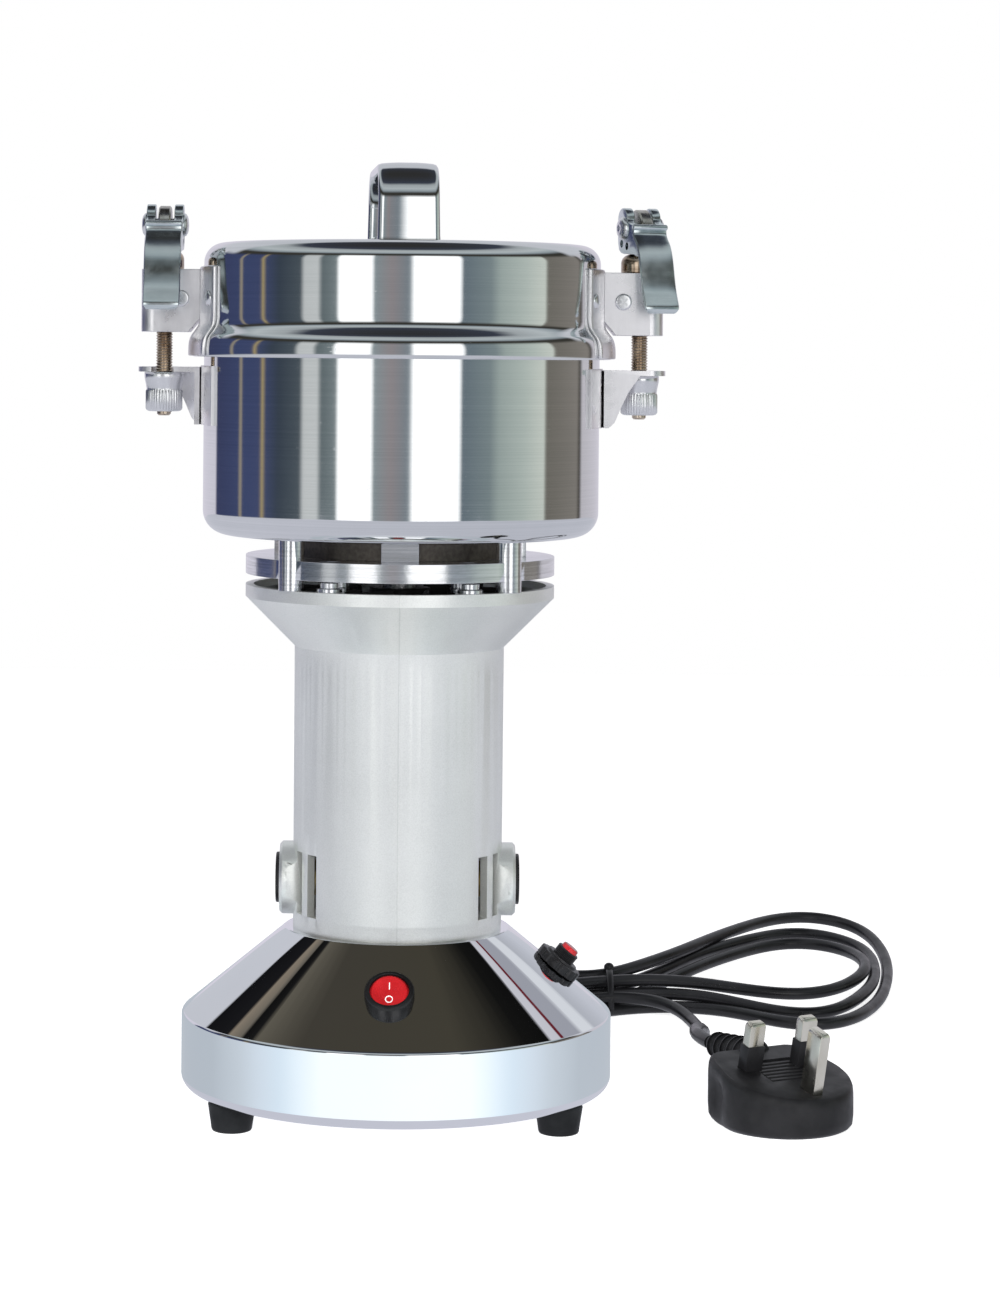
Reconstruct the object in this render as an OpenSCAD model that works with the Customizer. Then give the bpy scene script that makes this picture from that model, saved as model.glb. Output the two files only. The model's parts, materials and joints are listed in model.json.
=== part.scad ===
// High-speed grain mill: a clamped bowl of swinging cutters over an upright universal motor.
// Origin: centre of the base on the floor. +Z up, -Y is the switch side, +X is the plug side.

/* [Base] */
// Outer radius of the base skirt
base_r = 77; // [74:0.5:80]
// Height of the rubber feet
foot_h = 10; // [8:0.5:12]
// Sheet thickness of the base shell
shell_t = 1.5; // [1.2:0.1:1.8]
// Radius of the cone where the motor tube stands on it
neck_r = 40; // [39:0.5:42]

/* [Motor housing] */
// Outer radius of the motor tube
tube_r = 37.6; // [37:0.1:38]
// Wall of the motor tube
tube_wall = 3.2; // [3:0.1:3.4]
// Radius of the flared rim and of the machined ring above it
rim_r = 55.4; // [54.5:0.1:57]
// Width of each vent slot
vent_w = 5.5; // [4:0.5:6]

/* [Bowl and lid] */
// Outer radius of the bowl
bowl_r = 71; // [70.5:0.1:71.1]
// Sheet thickness of bowl and lid
bowl_t = 1.2; // [1:0.1:1.4]
// Corner radius at the bottom of the bowl
bowl_corner = 8.5; // [6:0.5:10]
// Corner radius at the top of the lid
lid_corner = 7; // [5:0.5:9]
// Width of the handle strap
handle_w = 21.5; // [18:0.5:26]
// Turn of the handle about the upright axis
handle_turn = 3.5; // [0:0.5:10]

/* [Latches] */
// Distance from the axis to each draw bolt
bolt_x = 85.4; // [85:0.1:86]
// Radius of the draw bolt
bolt_r = 3; // [2.8:0.1:3]
// Width of the cam lever
lever_w = 13.2; // [12:0.2:13.6]
// Turn of the right-hand lever about its bolt
lever_turn = 19; // [0:1:24]

/* [Cord] */
// Outer diameter of the mains cord
cord_d = 5; // [4.5:0.1:5.5]

/* [Hidden] */

fine = 96;       // facets of a large turned part
mid = 48;        // facets of a small turned part
eps = 0.02;      // overlap of a cutter with what it cuts

// Levels of the base
skirt_top = 37;
cone_top = 66.5;
cone_start_r = base_r - 1;
cone_slope = atan2(cone_top - skirt_top, cone_start_r - neck_r);
edge_r = 4.5;            // rounded lower edge of the skirt
shoulder_r = 2;          // rounded edge between skirt and cone
lip_r = base_r - 15;     // inner edge of the rolled lip
top_hole_r = 25;         // wiring hole under the motor
foot_ring = 66;          // feet stand on this radius
foot_angles = [-150, -30, 90];
plate_t = 1.5;
plate_z = foot_h + shell_t;
plate_r = base_r - 5;
base_screw_ring = 30;

// Switch, breaker and cord gland on the base
switch_turn = -92.3;
switch_r = 58;
breaker_turn = -3;
breaker_r = 57;
gland_turn = 60;
gland_z = 23;
gland_len = 25;
bezel_r = 8.6;
bezel_h = 4.2;
rocker_ball_r = 7.2;     // the rocker is a slice of this ball
rocker_pivot = 0.2;      // above the cone's face
rocker_tilt = 10;
ring_nut_r = 8.5;
ring_nut_h = 3.7;
bush_r = 4.25;
bush_h = 7.7;
button_r = 3.2;

// Levels of the motor
tube_in = tube_r - tube_wall;
flare_z = 167;
rim_low = flare_z + rim_r - tube_r;
rim_z = 189.1;
floor_t = 3;
brush_z = 83.4;
boss_r = 13;
boss_x = 42.2;
vent_low = 72.5;
vent_high = 94.5;
vent_angles = [21, 36];
post_r = 4.5;
post_ring = 53.5;
lug_ring = 50.2;
lug_r = 5.2;
lug_angles = [-119, -61, 61, 119];
lug_screw_head = 3.4;
tab_t = 1.3;
ring_low = 193;
ring_high = 199.6;
bell_r = 40;
bell_top = 207;
low_bearing = [4, 6.3, 8.9, 11];
high_bearing = [6, 8.6, 11.4, 14];
low_bearing_z = 69.5;
low_bearing_h = 7;
high_bearing_z = 193;
high_bearing_h = 8;
stack_low = 108;
stack_high = 150;
core_r = 20;
stator_r = 33.9;
slots = 12;
slot_ring = 16.4;
commutator_r = 11;
commutator_low = 78.5;
commutator_high = 92;
fan_z = 178;
fan_r = 43;
fan_blades = 9;

// Levels of the bowl, the cutters and the lid
bowl_low = bell_top;
bowl_in = bowl_r - bowl_t;
bead_z = 272.5;
rim_top = 275;
bead_r = 72.8;
gasket_h = 2;
lid_r = 71.2;
lid_top = 311;
skirt_r = 75.2;
skirt_low = 270.3;
seal_r = 9;
low_cutter_z = 214;
high_cutter_z = 226;
cutter_t = 2.5;
cutter_w = 18;
low_cutter_r = 62;
high_cutter_r = 58;
nut_low = high_cutter_z + cutter_t + 1.5;
handle_len = 72;
handle_top = 339.5;
handle_t = 4;
handle_bend = 15;
handle_foot = 14;
handle_screw_y = 28;

// Levels of the latches
saddle_t = 1.5;
saddle_a = 24;
box_out = 93.5;
box_half = 8.4;
box_low = 279;
box_high = 301.5;
box_corner = 5;
box_wall = 1.5;
latch_screw_x = 79;
latch_screw_z = 291;
washer_top = 308.3;
washer_r = 6.85;
pin_z = 317.5;
pin_r = 2.45;
eye_r = 6.8;
eye_w = 4.4;
cheek_gap = 6.6;
strap_t = 1.6;
bolt_low = 249;
nut_top = 264.6;
nut_bottom = 250.5;
nut_r = 6.5;
ear_low = 246;
ear_top = 266.5;
ear_t = 1.8;
ear_x = 94.4;
pad_t = 1.2;
slot_w = 8;

// Outer face of the cam lever, as [forward of the pin, above the pin], from its neck to its lip
lever_face = [
    [8.5, 1.1], [8.9, -0.6], [9.1, -2.1], [10.2, -3.6], [12.2, -5.6], [13.8, -8.2], [15.1, -11.4],
    [16.1, -14.9], [17, -18.5], [18.2, -22.3], [19.8, -25.8], [20.8, -28.2], [20.7, -29.7], [19.6, -30.6]
];
// Outline of one cheek of the lever, in the same frame, without its rounded top
cheek_face = [
    [3.1, 3.2], [4.4, 2.1], [8, 1.1], [8.4, -0.8], [8.6, -2.2], [9.8, -4], [11.7, -6], [13.1, -8.4],
    [13.6, -10], [12.2, -10.4], [9.4, -9.6], [5, -9.4], [2.4, -9.15], [0, -9.15], [-2.5, -8.7], [-4.2, -7.6],
    [-5, -5.6], [-5.3, -3]
];

// Route of the mains cord: out of the gland to the hank, then from the hank to the plug
lead_route = [
    [52, 90, 23], [55, 96, 21], [59, 106, 15], [63, 118, 8], [66, 131, 4], [69, 144, 3],
    [74, 157, 3]
];
tail_route = [
    [106, 166, 8], [113, 158, 7.2], [117.6, 147, 5.4], [119.8, 135, 4], [120.6, 122, 4.2], [120.6, 109, 6],
    [119.8, 97, 8.6], [118.4, 85, 11.8], [116.4, 73, 15], [114.2, 61, 18], [112.2, 50, 19.9],
    [110.8, 41, 20.6], [110.6, 34, 20.6], [112.2, 28.3, 20.5], [115.2, 22.5, 20.5]
];
hank_h = 22.5;
hank_left = [43, 180, 26.5];
hank_near = [176, 176, 36];
hank_far = [178, 266, 37];
tie_x = 88;
tie_y = 178;
tie_w = 22;
tie_high = 24.5;

// Plug
plug_at = [137.5, -18.5, 0];
plug_turn = 208.5;
plug_r = 24.5;
plug_h = 19;             // height of the pin face above the floor at the plug's middle
plug_tilt = 12.3;        // the pin face leans down towards the earth pin
pin_row = -5.2;
pin_pitch = 22.2;
pin_root = 4;
line_pin = [6.35, 4, 17.7];
earth_pin = [4, 8, 22.7];
relief_len = 26.4;
relief_r = 6.4;
relief_z = 20.5;

// ---- Helpers ----

// Points of an arc about [cx, cy]
function arc(cx, cy, r, a0, a1, n = 8) =
    [for (i = [0:n]) let (a = a0 + (a1 - a0) * i / n) [cx + r * cos(a), cy + r * sin(a)]];

// The points of a curve moved sideways by d
function side(p, d) =
    [for (i = [0:len(p) - 1])
        let (q = p[min(i + 1, len(p) - 1)] - p[max(i - 1, 0)], l = norm(q))
        p[i] + d * [-q[1], q[0]] / l];

function reversed(p) = [for (i = [len(p) - 1:-1:0]) p[i]];

function cone_r_at(z) = neck_r + (cone_top - z) / tan(cone_slope);

// A turned part from its half section
module turned(points, n = fine) {
    rotate_extrude($fn = n) polygon(points);
}

// A plain tube between two levels
module tube(r_in, r_out, low, high, n = fine) {
    difference() {
        translate([0, 0, low]) cylinder(r = r_out, h = high - low, $fn = n);
        translate([0, 0, low - 1]) cylinder(r = r_in, h = high - low + 2, $fn = n);
    }
}

module rod(r, low, high, n = mid) {
    translate([0, 0, low]) cylinder(r = r, h = high - low, $fn = n);
}

// A rod along +X
module rod_x(r, from, to, n = mid) {
    translate([from, 0, 0]) rotate([0, 90, 0]) cylinder(r = r, h = to - from, $fn = n);
}

module at_angles(angles, ring) {
    for (a = angles) rotate([0, 0, a]) translate([ring, 0, 0]) children();
}

// A sector of a ring between two angles, radii and levels
module sector(r_in, r_out, a0, a1, low, high) {
    translate([0, 0, low])
        rotate([0, 0, a0])
        rotate_extrude(angle = a1 - a0, $fn = fine)
        polygon([[r_in, 0], [r_out, 0], [r_out, high - low], [r_in, high - low]]);
}

// Puts its children on the cone, with +Z along the face's normal and +X down the slope
module on_cone(turn, r) {
    z = cone_top - (r - neck_r) * tan(cone_slope);
    rotate([0, 0, turn]) translate([r, 0, z]) rotate([0, cone_slope, 0]) children();
}

// Puts its children at both latches, the left one turned half round
module both_latches() {
    for (a = [0, 180]) rotate([0, 0, a]) children();
}

// Frames of one draw bolt, with the lever facing -Y
module left_bolt_frame() {
    translate([-bolt_x, 0, 0]) children();
}

module right_bolt_frame() {
    translate([bolt_x, 0, 0]) rotate([0, 0, lever_turn]) children();
}

// Extrudes a [forward, up] outline to a plate centred on x, facing -Y from the pin
module lever_plate(points, width) {
    translate([width / 2, 0, pin_z])
        rotate([90, 0, -90])
        linear_extrude(height = width)
        polygon(points);
}

// A tube swept along a route by frames that keep their side level
module swept(route, d, sides = 10) {
    n = len(route);
    dirs = [for (i = [0:n - 1]) let (q = route[min(i + 1, n - 1)] - route[max(i - 1, 0)]) q / norm(q)];
    level = [for (t = dirs) let (u = cross([0, 0, 1], t)) u / norm(u)];
    points = [for (i = [0:n - 1]) let (up = cross(dirs[i], level[i]))
        for (k = [0:sides - 1]) let (a = 360 * k / sides)
            route[i] + d / 2 * (cos(a) * level[i] + sin(a) * up)];
    walls = [for (i = [0:n - 2], k = [0:sides - 1])
        let (a = i * sides + k, b = i * sides + (k + 1) % sides)
        each [[a, a + sides, b], [b, a + sides, b + sides]]];
    caps = [[for (k = [0:sides - 1]) k], [for (k = [sides - 1:-1:0]) (n - 1) * sides + k]];
    polyhedron(points = points, faces = concat(walls, caps), convexity = 6);
}

// ---- Base ----

module base_shell() {
    nx = sin(cone_slope);
    nz = cos(cone_slope);
    round_x = base_r - shoulder_r;
    round_z = skirt_top + (nx * (cone_start_r - round_x) - shoulder_r) / nz;
    in_r = base_r - shell_t;
    in_neck = cone_r_at(cone_top - shell_t) - shell_t / nx;
    in_skirt_z = skirt_top - shell_t / nz - (in_r - cone_start_r) * tan(cone_slope);
    profile = concat(
        [[lip_r, foot_h]],
        arc(base_r - edge_r, foot_h + edge_r, edge_r, -90, 0),
        arc(round_x, round_z, shoulder_r, 0, 90 - cone_slope, 4),
        [[neck_r, cone_top], [top_hole_r, cone_top], [top_hole_r, cone_top - shell_t]],
        [[in_neck, cone_top - shell_t], [in_r, in_skirt_z]],
        arc(base_r - edge_r, foot_h + edge_r, edge_r - shell_t, 0, -90),
        [[lip_r, foot_h + shell_t]]
    );
    color("gainsboro") difference() {
        turned(profile);
        on_cone(switch_turn, switch_r) rod(8, -6, 4);
        on_cone(breaker_turn, breaker_r) rod(bush_r + 0.1, -6, 4);
        rotate([0, 0, gland_turn]) translate([0, 0, gland_z]) rod_x(5, base_r - 6, base_r + 4);
        at_angles(foot_angles, foot_ring) rod(2.2, foot_h - 1, foot_h + 3);
        at_angles([45:90:315], base_screw_ring) rod(2.1, cone_top - 4, cone_top + 1);
    }
}

module base_plate() {
    color("dimgray") difference() {
        rod(plate_r, plate_z, plate_z + plate_t, fine);
        at_angles(foot_angles, foot_ring) rod(2.2, plate_z - 1, plate_z + plate_t + 1);
        for (a = [0:60:300]) {
            rotate([0, 0, a + 30]) translate([28, -2, plate_z - 1]) cube([22, 4, plate_t + 2]);
        }
    }
}

module base_screws() {
    color("silver") at_angles([45:90:315], base_screw_ring) {
        rod(4, cone_top - shell_t - 2.6, cone_top - shell_t);
        rod(2, cone_top - shell_t - eps, cone_top + floor_t - 0.4);
    }
}

module rubber_feet() {
    color("#1c1c1c") at_angles(foot_angles, foot_ring) difference() {
        cylinder(r1 = 7, r2 = 8.5, h = foot_h, $fn = mid);
        translate([0, 0, -1]) cylinder(r = 4.2, h = 5, $fn = mid);
        rod(2.2, 3, foot_h + 1);
    }
}

module foot_screws() {
    color("silver") at_angles(foot_angles, foot_ring) {
        rod(3.8, 1.6, 4);
        rod(2, 3.9, plate_z + plate_t + 4);
        translate([0, 0, plate_z + plate_t]) cylinder(r = 4, h = 3, $fn = 6);
    }
}

// ---- Switch and breaker ----

module switch_housing() {
    rim = concat(
        [[6.7, 3], [8, 3]],
        [[8, 0], [bezel_r, 0]],
        arc(bezel_r - 1.6, bezel_h - 1.6, 1.6, 0, 90, 6),
        [[6.7, bezel_h]]
    );
    cup = [[7.3, -8], [7.3, 3.02], [8, 3.02], [8, 0], [7.9, 0], [7.9, -16], [0, -16], [0, -8]];
    color("#151515") on_cone(switch_turn, switch_r) {
        turned(rim, mid);
        turned(cup, mid);
        for (y = [-4, 4]) translate([-2.4, y - 0.4, -24]) cube([4.8, 0.8, 8 + eps]);
    }
}

module switch_rocker() {
    color("#d8141c") on_cone(switch_turn, switch_r)
        translate([0, 0, rocker_pivot])
        rotate([0, rocker_tilt, 0])
        intersection() {
            sphere(r = rocker_ball_r, $fn = mid);
            translate([-10, -10, -3.5]) cube([20, 20, 7]);
        }
}

module breaker_body() {
    color("#1d1d1d") on_cone(breaker_turn, breaker_r) difference() {
        union() {
            rod(bush_r, -3.2, bush_h);
            translate([-7, -10, -26]) cube([14, 20, 23]);
            for (y = [-6, 6]) translate([-2.4, y - 0.4, -33]) cube([4.8, 0.8, 7 + eps]);
        }
        rod(button_r + 0.1, -16, bush_h + 1);
    }
}

module breaker_ring() {
    color("#202020") on_cone(breaker_turn, breaker_r) difference() {
        rod(ring_nut_r, 0, ring_nut_h);
        rod(bush_r + 0.02, -1, 6);
        for (a = [0:15:345]) {
            rotate([0, 0, a]) translate([ring_nut_r + 0.2, 0, 0]) rod(0.6, -1, 6, 16);
        }
    }
}

module breaker_button() {
    color("#e02a2e") on_cone(breaker_turn, breaker_r) rod(button_r, -14, bush_h + 1.4);
}

// ---- Motor ----

module housing_outline() {
    turned([
        [0, cone_top], [tube_r - 0.2, cone_top], [tube_r, flare_z], [rim_r, rim_low], [rim_r, rim_z], [0, rim_z]
    ]);
}

module motor_housing() {
    inner_flare = flare_z + tube_wall * tan(22.5);
    color("#bfc4c0") difference() {
        union() {
            difference() {
                housing_outline();
                turned([
                    [0, cone_top + floor_t], [tube_in, cone_top + floor_t], [tube_in, inner_flare],
                    [rim_r - 2.9, inner_flare + rim_r - 2.9 - tube_in], [rim_r - 2.9, rim_z + 1], [0, rim_z + 1]
                ]);
            }
            intersection() {
                housing_outline();
                at_angles(lug_angles, lug_ring) rod(lug_r, 176, rim_z);
            }
            tube(low_bearing[3], 14.5, cone_top + 1, low_bearing_z + low_bearing_h);
            for (a = [0, 180]) rotate([0, 0, a]) translate([0, 0, brush_z]) {
                rod_x(boss_r, tube_in + 1, boss_x - 1);
                translate([boss_x - 1, 0, 0]) rotate([0, 90, 0]) cylinder(r1 = boss_r, r2 = boss_r - 1, h = 1, $fn = mid);
            }
        }
        rod(8, cone_top - 1, cone_top + floor_t + 1);
        for (a = [0, 180]) rotate([0, 0, a]) translate([0, 0, brush_z]) rod_x(6.5, 20, boss_x + 1);
        for (a = [0, 180], s = [-1, 1], v = vent_angles) {
            rotate([0, 0, a + s * v])
                translate([tube_in - 3, -vent_w / 2, vent_low])
                cube([10, vent_w, vent_high - vent_low]);
        }
        at_angles(lug_angles, lug_ring) rod(2, rim_z - 6.4, rim_z + 1);
        at_angles([45:90:315], base_screw_ring) rod(2, cone_top - 1, cone_top + floor_t - 0.4);
    }
}

module brush_holders() {
    color("darkgoldenrod") for (a = [0, 180]) rotate([0, 0, a]) translate([0, 0, brush_z]) difference() {
        rod_x(6.4, 13, boss_x - 1.2);
        translate([12, -3.3, -3.3]) cube([40, 6.6, 6.6]);
    }
}

module carbon_brushes() {
    color("#2b2b2b") for (a = [0, 180]) rotate([0, 0, a]) {
        translate([commutator_r + 0.1, -3.2, brush_z - 3.2]) cube([14, 6.4, 6.4]);
    }
}

module brush_springs() {
    color("silver") for (a = [0, 180]) rotate([0, 0, a]) {
        translate([0, 0, brush_z]) difference() {
            rod_x(2.8, commutator_r + 14.1, boss_x - 1.2);
            rod_x(2.1, commutator_r + 13, boss_x);
        }
    }
}

module brush_caps() {
    color("#1a1a1a") for (a = [0, 180]) rotate([0, 0, a]) translate([0, 0, brush_z]) difference() {
        union() {
            rod_x(6.4, boss_x - 1.2, boss_x);
            rod_x(9, boss_x, boss_x + 1.4);
        }
        translate([boss_x + 0.5, -5.5, -0.8]) cube([2, 11, 1.6]);
    }
}

module stator_core() {
    color("slategray") difference() {
        tube(core_r + 0.6, stator_r, stack_low, stack_high);
        for (a = [0, 180]) sector(core_r, 29, a - 50, a + 50, stack_low - 1, stack_high + 1);
    }
}

module field_coils() {
    low = stack_low - 9;
    high = stack_high + 9;
    color("#b5651d") for (a = [90, 270]) {
        sector(22, 28.5, a - 53, a + 53, stack_high + 0.3, high);
        sector(22, 28.5, a - 53, a + 53, low, stack_low - 0.3);
        sector(22, 28.5, a - 53, a - 42, low + 1, high - 1);
        sector(22, 28.5, a + 42, a + 53, low + 1, high - 1);
    }
}

module bearing_outer_races() {
    color("silver") {
        tube(low_bearing[2], low_bearing[3], low_bearing_z, low_bearing_z + low_bearing_h);
        tube(high_bearing[2], high_bearing[3], high_bearing_z, high_bearing_z + high_bearing_h);
    }
}

module balls(bearing, z, count) {
    gap = bearing[2] - bearing[1];
    at_angles([for (i = [0:count - 1]) 360 * i / count], (bearing[1] + bearing[2]) / 2 - 0.02)
        translate([0, 0, z]) sphere(r = gap / 2 - 0.02, $fn = 24);
}

module bearing_inner_races() {
    color("gray") {
        tube(low_bearing[0], low_bearing[1], low_bearing_z, low_bearing_z + low_bearing_h);
        tube(high_bearing[0], high_bearing[1], high_bearing_z, high_bearing_z + high_bearing_h);
        balls(low_bearing, low_bearing_z + low_bearing_h / 2, 7);
        balls(high_bearing, high_bearing_z + high_bearing_h / 2, 8);
    }
}

module end_bell() {
    color("#a9adab") difference() {
        union() {
            turned([
                [8, bell_top], [bell_r, bell_top], [bell_r, ring_high], [rim_r, ring_high], [rim_r, ring_low],
                [46, ring_low], [46, 196], [18, 196], [18, ring_low],
                [high_bearing[3], ring_low], [high_bearing[3], high_bearing_z + high_bearing_h],
                [8, high_bearing_z + high_bearing_h]
            ]);
            at_angles([45:90:315], post_ring) rod(post_r, rim_z, bell_top);
            at_angles(lug_angles, lug_ring) {
                rod(4.5, rim_z, rim_z + tab_t);
                translate([-5.6, -4.5, rim_z]) cube([2, 9, ring_low + 1 - rim_z]);
            }
            for (a = [0:90:270]) rotate([0, 0, a]) {
                translate([bell_r - 3, -6.5, ring_high - eps]) cube([8, 13, bell_top - ring_high + eps]);
            }
        }
        at_angles(lug_angles, lug_ring) {
            rod(2.1, rim_z - 1, ring_low);
            rod(lug_screw_head + 0.4, rim_z + tab_t, ring_high + 1);
        }
        at_angles([0:90:270], base_screw_ring) rod(2, 196, bell_top + 1);
    }
}

module end_bell_screws() {
    color("silver") at_angles(lug_angles, lug_ring) {
        rod(lug_screw_head, rim_z + tab_t, ring_low - 0.4);
        rod(2, rim_z - 6.4, rim_z + tab_t + eps);
    }
}

module rotor_shaft() {
    color("lightgray") {
        rod(4, cone_top + floor_t - 1, commutator_low - 1);
        rod(6, commutator_low - 1 - eps, low_cutter_z - 2);
        rod(5, low_cutter_z - 2 - eps, nut_low + 11);
    }
}

module armature_core() {
    color("slategray") difference() {
        tube(6, core_r, stack_low, stack_high);
        at_angles([for (i = [0:slots - 1]) 360 * i / slots], slot_ring) {
            rod(2.4, stack_low - 1, stack_high + 1, 24);
            translate([0, -0.8, stack_low - 1]) cube([6, 1.6, stack_high - stack_low + 2]);
        }
    }
}

module winding_end(low, high) {
    turned([
        [6.3, low], [16, low], [19, low + 3], [19, high - 3], [16, high], [6.3, high]
    ], mid);
}

module armature_winding() {
    color("#b87333") {
        winding_end(stack_high, stack_high + 11);
        winding_end(stack_low - 11, stack_low);
        at_angles([for (i = [0:slots - 1]) 360 * i / slots], slot_ring) rod(2.3, stack_low - 1, stack_high + 1, 24);
    }
}

module commutator() {
    color("#c7793a") difference() {
        tube(6, commutator_r, commutator_low, commutator_high);
        at_angles([for (i = [0:slots - 1]) 360 * i / slots], commutator_r) {
            translate([-1.2, -0.4, commutator_low - 1]) cube([3, 0.8, commutator_high - commutator_low + 2]);
        }
    }
}

module cooling_fan() {
    color("#303030") {
        tube(6, 11, fan_z - 8, fan_z + 10);
        tube(10.9, fan_r, fan_z, fan_z + 2);
        for (i = [0:fan_blades - 1]) {
            rotate([0, 0, 360 * i / fan_blades]) translate([17, 6, fan_z + 2 - eps]) rotate([0, 0, -14])
                cube([24, 1.6, 8]);
        }
    }
}

// ---- Bowl and cutters ----

module bowl() {
    corner_x = bowl_r - bowl_corner;
    corner_z = bowl_low + bowl_corner;
    profile = concat(
        [[seal_r, bowl_low]],
        arc(corner_x, corner_z, bowl_corner, -90, 0),
        [[bowl_r, bead_z - 1], [bead_r, bead_z], [bead_r, rim_top], [bowl_in, rim_top]],
        arc(corner_x, corner_z, bowl_corner - bowl_t, 0, -90),
        [[seal_r, bowl_low + bowl_t]]
    );
    color("#d5d8da") difference() {
        turned(profile);
        at_angles([0:90:270], base_screw_ring) rod(2.1, bowl_low - 1, bowl_low + 3);
    }
}

module bowl_screws() {
    color("silver") at_angles([0:90:270], base_screw_ring) {
        rod(4, bowl_low + bowl_t, bowl_low + bowl_t + 2);
        rod(2, bowl_low - 8, bowl_low + bowl_t + eps);
    }
}

module shaft_seal() {
    color("#222222") tube(6.06, seal_r, bowl_low, bowl_low + 4, mid);
}

// A cutter bar with swept tips and a bore for the shaft
module cutter(reach, z, turn) {
    half = cutter_w / 2;
    blade = [
        [8, half], [reach - 14, half * 0.8], [reach, half * 0.2], [reach - 3, -half * 0.5],
        [reach - 22, -half * 0.7], [8, -half]
    ];
    color("#c9ccce") rotate([0, 0, turn]) translate([0, 0, z]) difference() {
        union() {
            for (a = [0, 180]) rotate([0, 0, a]) linear_extrude(height = cutter_t) polygon(blade);
            cylinder(r = 11, h = cutter_t, $fn = mid);
        }
        rod(5.02, -1, cutter_t + 1);
    }
}

module lower_cutter() {
    cutter(low_cutter_r, low_cutter_z, 20);
}

module upper_cutter() {
    cutter(high_cutter_r, high_cutter_z, 110);
}

module cutter_spacers() {
    color("silver") {
        tube(5.02, 9, low_cutter_z - 1.5, low_cutter_z, mid);
        tube(5.02, 9, low_cutter_z + cutter_t, high_cutter_z, mid);
        tube(5.02, 9, high_cutter_z + cutter_t, nut_low, mid);
    }
}

module cutter_nut() {
    color("silver") translate([0, 0, nut_low]) difference() {
        cylinder(r = 9.2, h = 8, $fn = 6);
        rod(5.02, -1, 10);
    }
}

// Bracket on the bowl that the thumb nut pulls against, in the right-hand place
module ear() {
    gusset = concat(
        [[74 - eps, ear_low], [76, 248], [78.6, 254]],
        [[81, 259], [85, ear_top - ear_t]],
        [[74 - eps, ear_top - ear_t]]
    );
    plate = concat(
        [[72.4, -11]],
        arc(ear_x - 6, -5, 6, -90, 0),
        arc(ear_x - 6, 3, 6, 0, 90),
        [[72.4, 9]]
    );
    color("#cfd2d4") difference() {
        union() {
            sector(bowl_r, bowl_r + pad_t, -22, 22, ear_low, ear_top + 0.5);
            translate([bowl_r + pad_t - 0.05, -11, ear_low]) cube([ear_t + 0.05, 20, ear_top - ear_low]);
            translate([0, 0, ear_top - ear_t]) linear_extrude(height = ear_t) polygon(plate);
            translate([0, -9.2, 0]) rotate([90, 0, 0]) linear_extrude(height = ear_t) polygon(gusset);
        }
        rod(bowl_r, ear_low - 1, ear_top + 2, fine);
        translate([bolt_x, 0, 0]) rod(slot_w / 2, ear_top - ear_t - 1, ear_top + 1);
        translate([bolt_x - slot_w / 2, 0, ear_top - ear_t - 1]) cube([slot_w, 12, ear_t + 2]);
    }
}

module ear_right() {
    ear();
}

module ear_left() {
    rotate([0, 0, 180]) ear();
}

// ---- Lid ----

function lid_outside() = [
    [lid_r, 283], [lid_r + 0.4, 281], [lid_r + 1.2, 279.4], [lid_r + 2.4, 278], [skirt_r - 0.7, 276.4],
    [skirt_r - 0.15, 274.8], [skirt_r, 273], [skirt_r, skirt_low]
];

module lid_shell() {
    corner_x = lid_r - lid_corner;
    corner_z = lid_top - lid_corner;
    in_r = lid_r - bowl_t;
    profile = concat(
        [[0, lid_top]],
        arc(corner_x, corner_z, lid_corner, 90, 0),
        lid_outside(),
        [[skirt_r - 1.3, skirt_low], [skirt_r - 1.3, 274.2], [bead_r + 0.2, rim_top + gasket_h]],
        [[in_r, rim_top + gasket_h]],
        arc(corner_x, corner_z, lid_corner - bowl_t, 0, 90),
        [[0, lid_top - bowl_t]]
    );
    color("#d9dcde") difference() {
        turned(profile);
        rotate([0, 0, handle_turn]) for (y = [-1, 1]) {
            translate([0, y * handle_screw_y, 0]) rod(2.1, lid_top - 3, lid_top + 1);
        }
    }
}

module lid_gasket() {
    color("whitesmoke") tube(lid_r - bowl_t, bead_r, rim_top, rim_top + gasket_h);
}

// Half of the arch's outline in [along, up], from its foot to its crown
function arch_half(out, drop, bend) = concat(
    [[out, lid_top]],
    arc(out - bend, handle_top - drop - bend, bend, 0, 90)
);

module lid_handle() {
    half = handle_len / 2;
    outer = arch_half(half, 0, handle_bend);
    inner = arch_half(half - handle_t, handle_t, handle_bend - handle_t);
    mirrored_outer = [for (p = reversed(outer)) [-p[0], p[1]]];
    mirrored_inner = [for (p = inner) [-p[0], p[1]]];
    color("#dcdfe1") rotate([0, 0, handle_turn]) difference() {
        union() {
            translate([-handle_w / 2, 0, 0])
                rotate([90, 0, 90])
                linear_extrude(height = handle_w)
                polygon(concat(outer, mirrored_outer, mirrored_inner, reversed(inner)));
            for (s = [-1, 1]) translate([-handle_w / 2, s * (half - handle_foot / 2) - handle_foot / 2, lid_top]) {
                cube([handle_w, handle_foot, 3]);
            }
        }
        for (y = [-1, 1]) translate([0, y * handle_screw_y, 0]) rod(2, lid_top - 1, lid_top + 2.6);
    }
}

module handle_screws() {
    color("silver") rotate([0, 0, handle_turn]) for (y = [-1, 1]) translate([0, y * handle_screw_y, 0]) {
        rod(3.8, lid_top - bowl_t - 2.4, lid_top - bowl_t);
        rod(2, lid_top - bowl_t - eps, lid_top + 2.6);
    }
}

// ---- Latches ----

function saddle_outside() = [for (p = lid_outside()) p + [saddle_t, 0.2]];

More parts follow.
